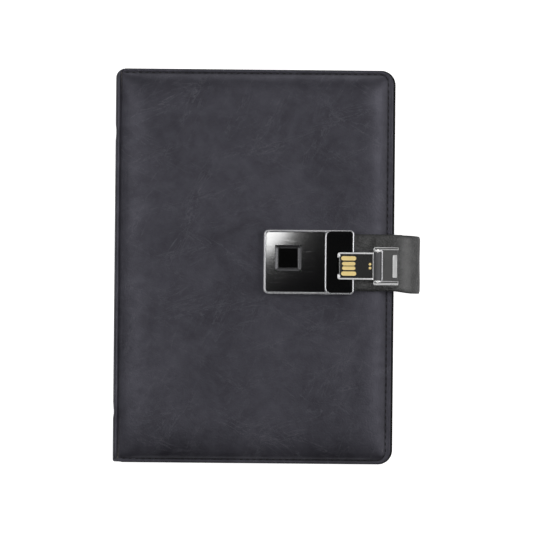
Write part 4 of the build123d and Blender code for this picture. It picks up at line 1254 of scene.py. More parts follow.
def flowing(points: Curve, count: int) -> list[tuple[float, float]]:
    """Draws a smooth line through points and walks it in even steps.

    Args:
        points: The points that the line passes.
        count: How many steps the walk has.

    Returns:
        The places along the line, both ends among them.
    """
    fine = 24
    dense = []
    padded = [points[0], *points, points[-1]]
    for near in zip(padded, padded[1:], padded[2:], padded[3:]):
        for t in (k / fine for k in range(fine)):
            dense.append(tuple(
                0.5 * (2 * b + (c - a) * t + (2 * a - 5 * b + 4 * c - d) * t * t
                       + (3 * b - a - 3 * c + d) * t ** 3)
                for a, b, c, d in zip(*near)
            ))
    dense.append(tuple(points[-1]))
    reach = [0.0]
    for a, b in zip(dense, dense[1:]):
        reach.append(reach[-1] + math.dist(a, b))
    walked, at = [], 0
    for i in range(count + 1):
        goal = reach[-1] * i / count
        while at < len(reach) - 2 and reach[at + 1] < goal:
            at += 1
        share = (goal - reach[at]) / max(1e-9, reach[at + 1] - reach[at])
        walked.append(tuple(a + (b - a) * share for a, b in zip(dense[at], dense[at + 1])))
    return walked


@dataclass
class Spine:
    """The spine's leather and lining, with a hinge of leather and one of lining on each side."""

    book: Book
    finishes: Finishes
    seam_height: float = 24.0
    crest: float = -61.2
    crest_width: float = 2.2
    dents: tuple[float, float] = (59.5, -65.0)
    dent_depth: float = 0.45
    dent_width: float = 1.6
    lining_end: float = 86.4
    lining: float = 0.35
    end_roll: Curve = (
        (0.1, 0.0), (0.5, 0.3), (1.2, 0.6), (2.2, 0.82), (3.4, 0.93), (5.0, 0.98), (8.0, 1.0),
    )
    corner: Curve = (
        (-62.5, 24.0), (-62.5, 26.2), (-62.44, 27.6), (-62.2, 28.7), (-61.75, 29.4),
        (-61.2, 29.6), (-60.65, 29.2), (-60.2, 28.45), (-59.85, 27.8), (-59.4, 27.45),
        (-58.9, 26.8),
    )
    inner_corner: Curve = (
        (-59.72, 21.6), (-59.7, 22.8), (-59.6, 23.6), (-59.2, 24.1), (-58.4, 24.32),
        (-57.2, 24.4), (-56.4, 24.42),
    )
    leather_bend: tuple[Point, Point] = ((-62.4, 0, 26.6), (-59.7, 0, 28.5))
    lining_bend: tuple[Point, Point] = ((-59.7, 0, 22.4), (-57.6, 0, 24.4))

    def lines(self) -> list[float]:
        """Lines across the spine, close together at its ends."""
        steps = edge_steps(self.book.end_trim, self.book.end_seam)
        ends = [self.book.half_height - d for d in steps]
        middle = spread(-ends[-1], ends[-1], steps=(60,))
        return sorted([-v for v in ends[:-1]] + middle + ends[:-1])

    def ended(self, spot: Vector) -> Vector:
        """Rounds the leather off at the head and the tail of the spine."""
        book, x, z = self.book, spot.x, spot.z
        if z > book.flange_top:
            board = along(self.end_roll, book.half_height - abs(spot.y))
            pad = book.end_swell(spot.y)
            inner = eased((x - self.crest) / self.crest_width)
            z = book.flange_top + (board + (pad - board) * inner) * (z - book.flange_top)
        if x < self.crest + 0.2:
            near = (math.exp(-(((spot.y - y) / self.dent_width) ** 2)) for y in self.dents)
            x += self.dent_depth * sum(near)
        return Vector((book.spine_end(x, spot.y), spot.y, z))

    def mirrored(self, spot: Vector) -> Vector:
        """The same place on the back cover's side."""
        return Vector((spot.x, spot.y, self.book.thickness - spot.z))

    def bend(self, cover: Side, ends: tuple[Point, Point]) -> Bend:
        """The bend between the spine and a cover, given for the front cover."""
        start, end = (Vector(place) for place in ends)
        if cover is Side.BACK:
            start, end = self.mirrored(start), self.mirrored(end)
        return Bend("spine", f"{cover.value}_cover", tuple(start), tuple(end))

    def leather(self) -> None:
        """The leather round the spine, in one flat length and two hinges."""
        book, skin, finish = self.book, self.book.leather, self.finishes.cover
        heights = (book.thickness - self.seam_height, 10.0, 15.2, 20.4, self.seam_height)
        flat = [(book.spine, z) for z in heights]
        back = strip("spine_cover_leather", flat, self.lines(), skin, self.ended)
        hand_in(back, "spine", "cover_leather", finish, "spine_leather")
        corner = flowing(self.corner, 30)
        front = strip("front_hinge_leather", corner, self.lines(), skin, self.ended)
        hand_in(front, self.bend(Side.FRONT, self.leather_bend), "cover_leather", finish)
        low = strip(
            "back_hinge_leather",
            corner,
            self.lines(),
            -skin,
            lambda spot: self.mirrored(self.ended(spot)),
        )
        hand_in(low, self.bend(Side.BACK, self.leather_bend), "cover_leather", finish)

    def cloth(self) -> None:
        """The lining's two hinges, inside the covers."""
        corner, finish = flowing(self.inner_corner, 18), self.finishes.lining
        lines = spread(-self.lining_end, self.lining_end, steps=(60,))
        front = strip("front_hinge_lining", corner, lines, -self.lining, lambda spot: spot)
        hand_in(front, self.bend(Side.FRONT, self.lining_bend), "lining_fabric", finish)
        back = strip("back_hinge_lining", corner, lines, self.lining, self.mirrored)
        hand_in(back, self.bend(Side.BACK, self.lining_bend), "lining_fabric", finish)

    def make(self) -> None:
        """Builds the spine."""
        self.leather()
        self.cloth()


# ---------------------------------------------------------------- strap


@dataclass
class Strap:
    """The leather strap round the fore-edge: lengths whose ends meet halfway along each side."""

    finishes: Finishes
    width: float = 25.4
    middle: float = 2.1
    half_thickness: float = 1.3
    radius: float = 12.8
    reach: float = 5.3
    hold: float = 3.4
    lean: float = 1.0
    lean_from: Point = (62.0, 10.0, 0.4)
    lean_rise: tuple[float, float] = (8.0, 14.0)
    bends: Curve = ((65.0, 4.5), (72.5, 12.0), (72.5, 24.5), (65.0, 32.0))
    first: tuple[float, float] = (62.75, 4.84)
    last: float = 45.05
    bulge: float = 0.6
    bulge_height: tuple[float, float] = (18.2, 6.5)
    bulge_from: tuple[float, float] = (66.0, 5.0)
    bow: float = 0.12
    rim: float = 0.9
    # past painted_rim the strap's sides take the full edge paint; the top's rows past rim take
    # part of it as painted shade
    painted_rim: float = 0.98
    thinned: float = 0.28
    # strength, middle x and width of the painted highlight band across the bend
    rubbed_and_highlight: float = 0.36
    highlight_x: tuple[float, float] = (68.0, 2.6)
    arc_steps: int = 14
    top_steps: int = 16
    across: int = 24

    def path(self, turn: int) -> list[Point]:
        """The strap's middle line round one bend.

        Args:
            turn: The bend, from 0 at the back cover to 3 on the front cover.

        Returns:
            Places along the arc, each with the direction of the line there, in radians.
        """
        x, z = self.bends[turn]
        heading = math.pi / 4 * turn
        cos, sin = math.cos(heading), math.sin(heading)
        centre_x = x - self.reach * cos - self.radius * sin
        centre_z = z - self.reach * sin + self.radius * cos
        arc = []
        for i in range(self.arc_steps + 1):
            angle = heading + math.pi / 4 * i / self.arc_steps
            out, drop = self.radius * math.sin(angle), self.radius * math.cos(angle)
            arc.append((centre_x + out, centre_z - drop, angle))
        return arc

    def lengths(self) -> list[list[Point]]:
        """The middle line of each of the four lengths, which join end to end."""
        arcs = [self.path(turn) for turn in range(4)]
        arcs[0] = [p for p in arcs[0] if p[0] > self.first[0]]
        arcs[0].insert(0, (*self.first, arcs[0][0][2]))
        halfway = tuple((a + b) / 2 for a, b in zip(arcs[1][-1], arcs[2][0]))
        arcs[1].append(halfway)
        arcs[2].insert(0, halfway)
        x, z, _ = arcs[3][-1]
        run = (self.last - x) / self.top_steps
        arcs[3] += [(x + run * i, z, math.pi) for i in range(1, self.top_steps + 1)]
        return arcs

    def length(self, name: str, line: Sequence[Point]) -> bpy.types.Object:
        """One length of strap along its middle line, with rounded and painted edges that also
        carry painted shade, and a painted highlight across its bend.
        """
        count, across = len(line) - 1, self.across
        bench = Bench.block(name, (0, 0, -1), (count, across, 1))
        bench.pick("EDGE", lambda spot, way: abs(way.x) > ALONG).subdivide(count - 1)
        bench.pick("EDGE", lambda spot, way: abs(way.y) > ALONG).subdivide(across - 1)

        def settle(spot: Vector) -> Vector:
            """Bends the straight block along the line."""
            x, z, angle = line[round(spot.x)]
            share = spot.y / across * 2 - 1
            edge = max(0.0, abs(share) - self.rim) / (1 - self.rim)
            thick = self.half_thickness * spot.z * (1 - self.thinned * edge * edge)
            thick += self.bow * (1 - share * share) * math.sin(2.6 * share + x * 0.1)
            start, run, least = self.lean_from
            low, rise = self.lean_rise
            leaning = eased((x - start) / run) * (least + (1 - least) * eased((z - low) / rise))
            y = self.middle - self.lean * leaning + self.width / 2 * share
            (height, spread_z), (start, run) = self.bulge_height, self.bulge_from
            bulging = math.exp(-(((z - height) / spread_z) ** 2)) * eased((x - start) / run)
            x += self.bulge * bulging
            return Vector((x - math.sin(angle) * thick, y, z + math.cos(angle) * thick))

        shape = bmesh.from_edit_mesh(bench.piece.data)
        shares = [abs(v.co.y / MM / across * 2 - 1) for v in shape.verts]
        # edge paint: full on the sides, part on the top's outer rows as painted shade of the
        # edge
        levels = ((-1.0, 0.0), (self.rim, 0.3), (self.painted_rim, 1.0))
        paint_and_shade = [[level for edge, level in levels if share > edge][-1] for share in shares]
        piece = bench.reshape(settle).outward().finish(50)
        # painted highlight: lighter leather in a band across the bend, where it faces the lamp
        middle, width = self.highlight_x
        away = [(v.co.x / MM - middle) / width for v in piece.data.vertices]
        rubbed_and_highlight = [self.rubbed_and_highlight * math.exp(-(x ** 2)) for x in away]
        for label, values in ((EDGE_PAINT_AND_SHADE_ATTRIBUTE, paint_and_shade), (HIGHLIGHT_ATTRIBUTE, rubbed_and_highlight)):
            layer = piece.data.attributes.new(label, "FLOAT", "POINT")
            layer.data.foreach_set("value", values)
        return piece

    def make(self) -> None:
        """Builds the four lengths, each left where it is built, though the bend between two
        bodies of the chain is worked out for it.
        """
        chain = ("back_cover", "strap_lower", "strap_side", "strap_upper", "strap_end")
        nodes = ("strap_lower", "strap_side", "strap_upper", "strap_top")
        for turn, line in enumerate(self.lengths()):
            x, z = self.bends[turn]
            before, after = math.pi / 4 * turn, math.pi / 4 * (turn + 1)
            start = (x - self.hold * math.cos(before), 0, z - self.hold * math.sin(before))
            end = (x + self.hold * math.cos(after), 0, z + self.hold * math.sin(after))
            piece = self.length(f"strap_length_{turn + 1}", line)
            seat = Bend(chain[turn], chain[turn + 1], start, end)
            hand_in(piece, seat, "strap_leather", self.finishes.strap, nodes[turn])


# ---------------------------------------------------------------- lock


def slab(
    name: str, low: Point, high: Point, left: float = 0, right: float = 0, steps: int = 6
) -> Bench:
    """A flat block whose upright edges are rounded, differently at its left and right ends.

    Args:
        name: The piece's name.
        low: The lowest corner.
        high: The highest corner.
        left: The radius of the left edges.
        right: The radius of the right edges.
        steps: How many flats round each edge.

    Returns:
        The block, open for the next step.
    """
    bench, middle = Bench.block(name, low, high), (low[0] + high[0]) / 2
    if left:
        bench.pick("EDGE", lambda spot, way: abs(way.z) > ALONG and spot.x < middle)
        bench.bevel(left, steps)
    if right:
        bench.pick("EDGE", lambda spot, way: abs(way.z) > ALONG and spot.x > middle)
        bench.bevel(right, steps)
    return bench


@dataclass
class Lock:
    """The lock on the front cover: a plated tray, a glass face with a sensor, and a block."""

    finishes: Finishes
    left: float = 4.3
    right: float = 44.65
    low: float = -12.1
    high: float = 16.5
    base: float = 30.4
    tray_floor: float = 31.4
    rim: float = 36.0
    rim_width: float = 0.85
    ledge: float = 35.5
    ledge_width: float = 0.32
    tray_opening: float = 43.2
    block_left: float = 31.6
    block_base: float = 34.0
    block_top: float = 37.6
    trim: float = 0.6
    trim_ledge: float = 0.16
    trim_step: float = 0.35
    trim_depth: float = 1.5
    channel: tuple[float, float] = (-5.65, 6.85)
    channel_left: float = 36.9
    channel_floor: float = 34.7
    channel_right: float = 47.0
    channel_top: float = 39.0
    sensor: tuple[float, float] = (15.2, 3.9)
    bezel: float = 11.8
    bezel_base: float = 34.75
    window: float = 8.7
    window_base: float = 34.6
    window_top: float = 35.35
    glass_top: float = 35.7
    glass: float = 1.0

    def way(self, start: float) -> Bench:
        """The space that the plug needs, from a place in x out through the right side."""
        low, high = self.channel
        far = (self.channel_right, high, self.channel_top)
        return Bench.block("way", (start, low, self.channel_floor), far)

    def square(self, size: float, low: float, high: float) -> tuple[Point, Point]:
        """The two corners of a square round the sensor's middle, between two heights."""
        x, y = self.sensor
        half = size / 2
        return (x - half, y - half, low), (x + half, y + half, high)

    def tray(self) -> None:
        """The plated tray, with its rim rounded on both sides."""
        low, high = (self.left, self.low, self.base), (self.right, self.high, self.ledge)
        bench = slab("lock_tray_plated", low, high, 2.3, 1.8)
        bench.top().inset(self.ledge_width).extrude(self.rim - self.ledge)
        bench.inset(self.rim_width - self.ledge_width).extrude(self.tray_floor - self.rim)
        bench.rims(self.rim).bevel(0.22, 4)
        foot = self.base + SKIN
        bench.pick("EDGE", lambda spot, way: spot.z < foot and abs(way.z) < LEVEL).bevel(0.15, 2)
        bench.cut(self.way(self.tray_opening))
        hand_in(
            bench.finish(), "front_cover", "chrome_trim", self.finishes.chrome, "lock_tray"
        )

    def face(self) -> None:
        """The black glass face, with an opening for the sensor."""
        edge, top = self.rim_width + 0.1, self.glass_top
        low = (self.left + edge, self.low + edge, top - self.glass)
        high = (self.block_left - 0.1, self.high - edge, top)
        bench = slab("lock_glass", low, high, 1.4)
        bench.rims(top).bevel(0.16, 3)
        bench.cut(Bench.block("opening", *self.square(self.bezel - 0.1, 34, 37)))
        hand_in(
            bench.finish(), "front_cover", "black_fascia", self.finishes.glass, "lock_fascia"
        )

    def reader(self) -> None:
        """The sensor's bevelled frame and its window."""
        top = self.glass_top + 0.12
        rim = slab("sensor_frame", *self.square(self.bezel, self.bezel_base, top), 1.5, 1.5)
        rim.top().inset(0.34).inset(0.52, -0.36).inset(0.5, -0.03).extrude(-0.45)
        rim.rims(top).bevel(0.14, 4)
        hand_in(
            rim.finish(32), "front_cover", "black_fascia", self.finishes.bezel, "sensor_bezel"
        )
        corners_of_pad = self.square(self.window, self.window_base, self.window_top)
        pad = slab("sensor_pad_window", *corners_of_pad, 0.5, 0.5, 4)
        pad.rims(self.window_top).bevel(0.12, 2)
        hand_in(
            pad.finish(), "front_cover", "black_fascia", self.finishes.sensor, "sensor_pad"
        )

    def block(self) -> None:
        """The gloss block that holds the plug, and the plated trim round it."""
        trim, left, top = self.trim, self.block_left, self.block_top
        low = (left + trim, self.low + trim, self.block_base)
        high = (self.right - trim, self.high - trim, top - 0.04)
        body = slab("lock_block_gloss", low, high, 2.4, 1.2)
        body.rims(high[2]).bevel(0.22, 3)
        body.cut(self.way(self.channel_left))
        hand_in(
            body.finish(), "front_cover", "black_fascia", self.finishes.block, "lock_block"
        )
        low, high = (left, self.low, self.rim), (self.right, self.high, top - self.trim_step)
        frill = slab("block_trim_plated", low, high, 3.0, 1.8)
        frill.top().inset(self.trim_ledge).extrude(self.trim_step)
        frill.inset(trim - self.trim_ledge).extrude(-self.trim_depth)
        frill.rims(top).bevel(0.19, 4)
        frill.cut(self.way(self.channel_left))
        hand_in(
            frill.finish(), "front_cover", "chrome_trim", self.finishes.chrome, "block_trim"
        )

    def make(self) -> None:
        """Builds the lock."""
        self.tray()
        self.face()
        self.reader()
        self.block()


@dataclass
class Plug:
    """The plug that turns on its hinge: a plated frame, a black blade and gold contacts."""

    finishes: Finishes
    left: float = 37.3
    right: float = 53.3
    middle: float = 0.6
    half: float = 6.05
    bottom: float = 34.9
    floor: float = 0.42
    top: float = 37.3
    rail: float = 0.7
    rail_height: float = 1.95
    mouth: float = 2.3
    blade_base: float = 35.35
    blade_step: float = 36.5
    blade_top: float = 37.15
    catch: float = 3.2
    above: float = 39.0
    contact_x: float = 42.3
    contacts_at: tuple[Point, ...] = (
        (3.4, 6.7, 1.9), (1.0, 5.9, 1.62), (-1.0, 5.9, 1.62), (-3.4, 6.7, 1.9),
    )
    dot_x: float = 51.8
    dot_spread: float = 0.85
    dot: float = 0.6
    axis: tuple[float, float] = (55.2, 36.1)
    barrel: tuple[float, float] = (1.85, 12.5)
    web: tuple[float, float] = (34.95, 37.25)

    def shell(self) -> None:
        """The plated frame: two rails, a floor and a hook at each free corner."""
        low, high = self.middle - self.half, self.middle + self.half
        left, right, bottom, top = self.left, self.right, self.bottom, self.top
        frame_low, frame_high = (left, low, bottom), (right, high, top)
        bench = slab("plug_shell", frame_low, frame_high, 1.05)
        bench.top().inset(self.rail).extrude(-self.rail_height)
        end, over = right - self.rail - 0.1, self.above
        mouth_low, mouth_high = low + self.mouth, high - self.mouth
        held_low, held_high = low + self.rail, high - self.rail
        for name, cut_low, cut_high in (
            ("mouth", (left - 1, mouth_low, bottom + self.floor), (left + 1, mouth_high, over)),
            ("lip", (left - 1, mouth_low, bottom - 1), (left + 0.75, mouth_high, over)),
            ("gate", (end, held_low, bottom + self.floor), (right + 1, held_high, over)),
        ):
            bench.cut(Bench.block(name, cut_low, cut_high))
        bench.rims(top).bevel(0.26, 4)
        edge_low = (end + 0.55, low + 0.3, bottom + 0.2)
        edge = Bench.block("edge", edge_low, (right, high - 0.3, top - 0.04))
        shells = [bench.finish(50), edge.soften(0.08, 2, 50).finish()]
        for side in (held_low - 0.2, held_high - 1.5):
            hook_low = (left + 0.15, side, bottom + 0.3)
            hook_high = (left + 1.25, side + 1.7, top - 0.02)
            hook = slab("hook", hook_low, hook_high, 0.5, 0.5, 5)
            shells.append(hook.rims(hook_high[2]).bevel(0.4, 5).finish(50))
        piece = joined("plug_shell", shells)
        hand_in(piece, "plug", "chrome_trim", self.finishes.satin, "plug_frame")

    def blade(self) -> None:
        """The black blade, stepped down beside the rails."""
        low, high = self.middle - self.half + self.rail, self.middle + self.half - self.rail
        blade_low = (self.left + 1.0, low, self.blade_base)
        bench = slab("plug_blade_black", blade_low, (self.right - 0.1, high, self.blade_step))
        bench.top().inset(0.42).extrude(self.blade_top - self.blade_step)
        bench.rims(self.blade_step).bevel(0.1, 2)
        catch_low = (self.left, self.middle - self.catch, 35.2)
        catch_high = (self.left + 1.8, self.middle + self.catch, 36.1)
        bench.cut(Bench.block("catch", catch_low, catch_high))
        hand_in(bench.finish(), "plug", "plug_black", self.finishes.plug, "plug_blade")

    def contacts(self) -> None:
        """Four gold contacts with raised rims, and two gold dots."""
        gold, floor, top = self.finishes.gold, self.blade_top - 0.1, self.blade_top + 0.1
        pads = []
        for y, length, width in self.contacts_at:
            x, y = self.contact_x - length / 2, self.middle + y - width / 2
            round_end = width / 2 - 0.03
            pad = slab("pad", (x, y, floor), (x + length, y + width, top), round_end, round_end)
            pad.top().inset(0.05).inset(0.16).inset(0.1, -0.05)
            pads.append(pad.finish())
        piece = joined("plug_contacts_gold", pads)
        hand_in(piece, "plug", "gold_contacts", gold, "plug_contacts")
        dots = []
        for side in (-self.dot_spread, self.dot_spread):
            spot = (self.dot_x, self.middle + side, self.blade_top)
            dot = Bench.rod("dot", spot, self.dot, top - floor, (0, 0, 0), 20)
            dots.append(dot.rims(top).bevel(0.07, 2).finish())
        hand_in(joined("plug_dots_gold", dots), "plug", "gold_contacts", gold, "plug_dots")

    def knuckle(self) -> None:
        """The hinge barrel with the web that carries the plug."""
        x, z = self.axis
        turn = (math.pi / 2, 0, 0)
        barrel = Bench.rod("plug_hinge_barrel", (x, self.middle, z), *self.barrel, turn, 40)
        barrel.pick("FACE", lambda spot, way: abs(way.y) > ALONG).bevel(0.15, 2)
        web_low = (self.right - 0.05, self.middle - self.half, self.web[0])
        web = Bench.block("web", web_low, (x, self.middle + self.half, self.web[1]))
        web.pick("EDGE", lambda spot, way: abs(way.y) > ALONG and spot.x < 54).bevel(0.2, 2)
        piece = barrel.combine("UNION", web).finish()
        hand_in(piece, "plug", "grey_plate", self.finishes.hinge, "plug_knuckle")

    def make(self) -> None:
        """Builds the plug."""
        self.shell()
        self.blade()
        self.contacts()
        self.knuckle()


@dataclass
class Fitting:
    """The plated fitting on the strap that carries the plug's hinge."""

    finishes: Finishes
    start: float = 53.35
    end: float = 64.5
    middle: float = 0.6
    half: float = 8.45
    base: float = 33.3
    rail_start: float = 53.5
    rail_width: float = 1.15
    rail_sides: tuple[float, float] = (-7.8, 7.3)
    rail_top: float = 34.9
    groove_top: float = 34.42
    ear_sides: tuple[float, float] = (-7.2, 6.45)
    ear_end: float = 57.05
    ear_top: float = 37.95
    ear: float = 0.75
    wire: float = 0.26
    wire_height: float = 35.1
    wire_line: Curve = (
        (-7.2, 56.1), (-6.8, 57.0), (-5.9, 57.15), (0.0, 57.15), (6.1, 57.15), (7.1, 57.0),
        (7.5, 56.1),
    )
    plate_low: Point = (57.2, -6.9, 33.7)
    plate_high: Point = (64.5, 7.35, 34.5)
    bar_low: Point = (61.95, -5.1, 34.3)
    bar_high: Point = (63.9, 5.1, 35.2)

    def carrier(self) -> None:
        """The base with its two grooved rails and the two ears of the hinge."""
        base, end = self.base, self.end
        low = (self.start, self.middle - self.half, base)
        foot = slab("carrier", low, (end, self.middle + self.half, base + 0.4), 0.8, 0.3, 4)
        shells, grooves = [foot.soften(0.1, 2, 40).finish()], []
        for side in (self.middle + offset for offset in self.rail_sides):
            rail_low = (self.rail_start, side, base + 0.1)
            rail_high = (end, side + self.rail_width, self.rail_top)
            rail = slab("rail", rail_low, rail_high, 0.55, 0.0, 5)
            rail.top().inset(0.3).extrude(-0.7)
            rail.rims(self.rail_top).bevel(0.15, 4)
            shells.append(rail.cleaned().finish(50))
            groove_low = (self.rail_start + 0.32, side + 0.31, base + 0.3)
            groove_high = (end - 0.31, side + 0.84, self.groove_top)
            groove = slab("groove", groove_low, groove_high, 0.2, 0.05, 3)
            grooves.append(groove.soften(0.05, 2, 40).finish())
        for side in (self.middle + offset for offset in self.ear_sides):
            ear_low = (self.start, side, base + 0.1)
            ear = Bench.block("ear", ear_low, (self.ear_end, side + self.ear, self.ear_top))
            ear.pick("EDGE", lambda spot, way: abs(way.y) > ALONG and spot.z > 37)
            shells.append(ear.bevel(1.8, 8).soften(0.2, 3, 50).finish())
        piece = joined("fitting_carrier", shells)
        hand_in(piece, "strap_end", "chrome_trim", self.finishes.satin, "fitting_base")
        piece = joined("fitting_rail_grooves", grooves)
        hand_in(piece, "strap_end", "grey_plate", self.finishes.plate)

    def bail(self) -> None:
        """The bent wire beside the barrel that ties the ears together."""
        line, sides = flowing(self.wire_line, 40), 8
        last = len(line) - 1

        def settle(column: int, row: int) -> Vector:
            """Wraps the grid round the wire's line."""
            (y0, x0), (y1, x1) = line[max(0, column - 1)], line[min(last, column + 1)]
            way = Vector((x1 - x0, y1 - y0, 0)).normalized()
            angle = math.tau * row / sides
            out = Vector((way.y, -way.x, 0)) * math.cos(angle)
            y, x = line[column]
            middle = Vector((x, y + self.middle, self.wire_height))
            return middle + (out + Vector((0, 0, math.sin(angle)))) * self.wire

        wire = Bench.lattice("hinge_bail", last, sides, settle).closed().outward()
        hand_in(wire.finish(60), "strap_end", "chrome_trim", self.finishes.chrome)

    def plate(self) -> None:
        """The grey plate between the rails, and the bar across it."""
        offset = Vector((0, self.middle, 0))
        low, high, bar_low, bar_high = (
            tuple(Vector(spot) + offset)
            for spot in (self.plate_low, self.plate_high, self.bar_low, self.bar_high)
        )
        bench = Bench.block("fitting_cover_plate", low, high)
        bench.top().inset(0.5).inset(0.15, -0.08)
        bench.rims(high[2]).bevel(0.1, 2)
        hand_in(
            bench.finish(), "strap_end", "grey_plate", self.finishes.plate, "fitting_plate"
        )
        bar = slab("fitting_cross_bar", bar_low, bar_high, 0.3, 0.3, 3)
        bar.top().inset(0.22).inset(0.14, -0.06)
        bar.soften(0.1, 2, 50)
        hand_in(bar.finish(), "strap_end", "bar_metal", self.finishes.bar, "fitting_bar")

    def make(self) -> None:
        """Builds the fitting."""
        self.carrier()
        self.bail()
        self.plate()


# ---------------------------------------------------------------- pages


@dataclass
class Leaves:
    """The loose leaves in the rings, as separate sheets with six holes each."""

    finishes: Finishes
    left: float = -46.8
    right: float = 57.5
    half: float = 84.0
    corner: float = 4.0
    hole_x: float = -40.3
    hole: float = 3.0
    ring_rows: tuple[float, ...] = (-63.5, -44.45, -25.4, 25.4, 44.45, 63.5)
    between_rings: tuple[float, float] = (-10.0, 10.0)
    bend_lines: tuple[float, ...] = (-31.0, -27.0, -22.0, -14.0, 0.0, 15.0, 30.0, 45.0, 55.0)
    near: float = -37.5
    far: float = -25.0
    cell: float = 4.6
    thickness: float = 0.2
    wave: float = 0.1

    def pattern(self) -> bpy.types.Object:
        """One leaf with its holes, at zero height."""
        middle, cell = self.hole_x, self.cell
        columns = [self.left, middle - cell, middle + cell, *self.bend_lines, self.right]
        beside_rings = [y + side for y in self.ring_rows for side in (-cell, cell)]
        rows = sorted([-self.half, *beside_rings, *self.between_rings, self.half])
        bench = Bench.lattice(
            "leaf",
            len(columns) - 1,
            len(rows) - 1,
            lambda column, row: Vector((columns[column], rows[row], 0)),
        )
        for y in self.ring_rows:
            centre = Vector((middle, y, 0))
            bench.pick("FACE", lambda spot, way: (spot - centre).length < 0.5)
            bench.inset(1.0).subdivide(3)
            bpy.ops.mesh.dissolve_faces()
            bench.reshape(
                lambda spot: centre + (spot - centre).normalized() * self.hole, picked_only=True
            )
            bpy.ops.mesh.delete(type="FACE")
        right, top = self.right - 0.1, self.half - 0.1
        bench.pick("VERT", lambda spot, way: spot.x > right and abs(spot.y) > top)
        bench.bevel(self.corner, 5, "VERTICES")
        bench.apply("SOLIDIFY", thickness=self.thickness * MM, offset=0)
        return bench.finish(60)

    def stack(
        self, name: str, body: str, node: str, floor: Curve, roof: Curve, count: int
    ) -> None:
        """A stack of leaves between two heights.

        Args:
            name: The stack's name.
            body: The body that it moves with.
            node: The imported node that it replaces.
            floor: The stack's underside, as (x, height).
            roof: Its top.
            count: How many leaves it has.
        """
        levels = [Matrix.Translation((0, 0, i)) for i in range(count)]
        stack = copies(name, self.pattern(), levels)
        wander = [noise.noise(Vector((i * 0.9, 0.3, 0.7))) * 0.5 for i in range(count)]
        for v in stack.data.vertices:
            i = round(v.co.z)
            x, lift, share = v.co.x / MM, v.co.z - i, i / (count - 1)
            low = along(floor, x) + self.thickness / 2
            high = along(roof, x) - self.thickness / 2
            z = low + (high - low) * share
            if 0 < share < 1:
                wave = self.wave * noise.noise(Vector((x * 0.03, v.co.y * 30, i * 0.37)))
                z += wave * (0.3 if x < self.near else 1)
            slide = wander[i] * 0.5 if x > 0 else 0
            stretch = 1 + wander[(i * 5) % count] * 0.003
            v.co = Vector(((x + slide - 0.15) * MM, v.co.y * stretch, z * MM + lift))
        hand_in(stack, body, "page_paper", self.finishes.paper, node)

    def make(self) -> None:
        """Builds the two stacks."""
        near, far = self.near, self.far
        floor, roof = ((near, 9.3), (far, 5.95)), ((near, 14.2), (far, 13.48))
        self.stack("leaves_lower", "back_cover", "pages_lower", floor, roof, 20)
        floor, roof = ((near, 14.35), (far, 13.6)), ((near, 19.1), (far, 18.9))
        self.stack("leaves_upper", "turning_pages", "pages_upper", floor, roof, 15)


# ---------------------------------------------------------------- what stays as packed


class Packed:
    """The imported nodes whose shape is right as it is, each with its own finish."""

    def __init__(self, finishes: Finishes) -> None:
        """Says which finish each node takes."""
        steel, rings = finishes.blade_steel, finishes.ring_steel
        self.dress = {
            finishes.board: ("front_board", "back_board", "spine_board"),
            finishes.lining: ("front_lining", "back_lining", "spine_lining"),
            finishes.strap: ("strap_tab",),
            rings: ("ring_halves_left", "ring_halves_right", "ring_rivets", "hinge_pin"),
            steel: (
                "ring_blade_left", "ring_blade_right", "lock_bolt", "solenoid_frame",
                "lock_screws",
            ),
            finishes.chrome: ("fitting_rivets",),
            finishes.circuit: ("lock_circuit",),
            finishes.copper: ("solenoid_coil",),
            finishes.wrap: ("battery",),
            finishes.housing: ("power_connector",),
        }
        self.softened = {
            "ring_plate": ("ring_steel", rings, 0.25),
            "ring_trigger_head": ("ring_steel", rings, 0.12),
            "ring_trigger_tail": ("ring_steel", rings, 0.12),
            "battery_housing": ("black_housing", finishes.housing, 0.3),
        }

    def make(self) -> None:
        """Dresses the nodes, and rounds the edges of those that show most in the open book."""
        for finish, names in self.dress.items():
            for name in names:
                node = frame["nodes"][name]
                node.data.materials.clear()
                node.data.materials.append(finish)
                log.info("%s keeps its packed shape", name)
        for name, (slot, finish, width) in self.softened.items():
            body = frame["nodes"][name]["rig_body"]
            bench = Bench.node_copy(f"{name}_rounded", name).soften(width, 2, 40)
            hand_in(bench.cleaned(5 * CLOSE).finish(), body, slot, finish, name)


# ---------------------------------------------------------------- studio


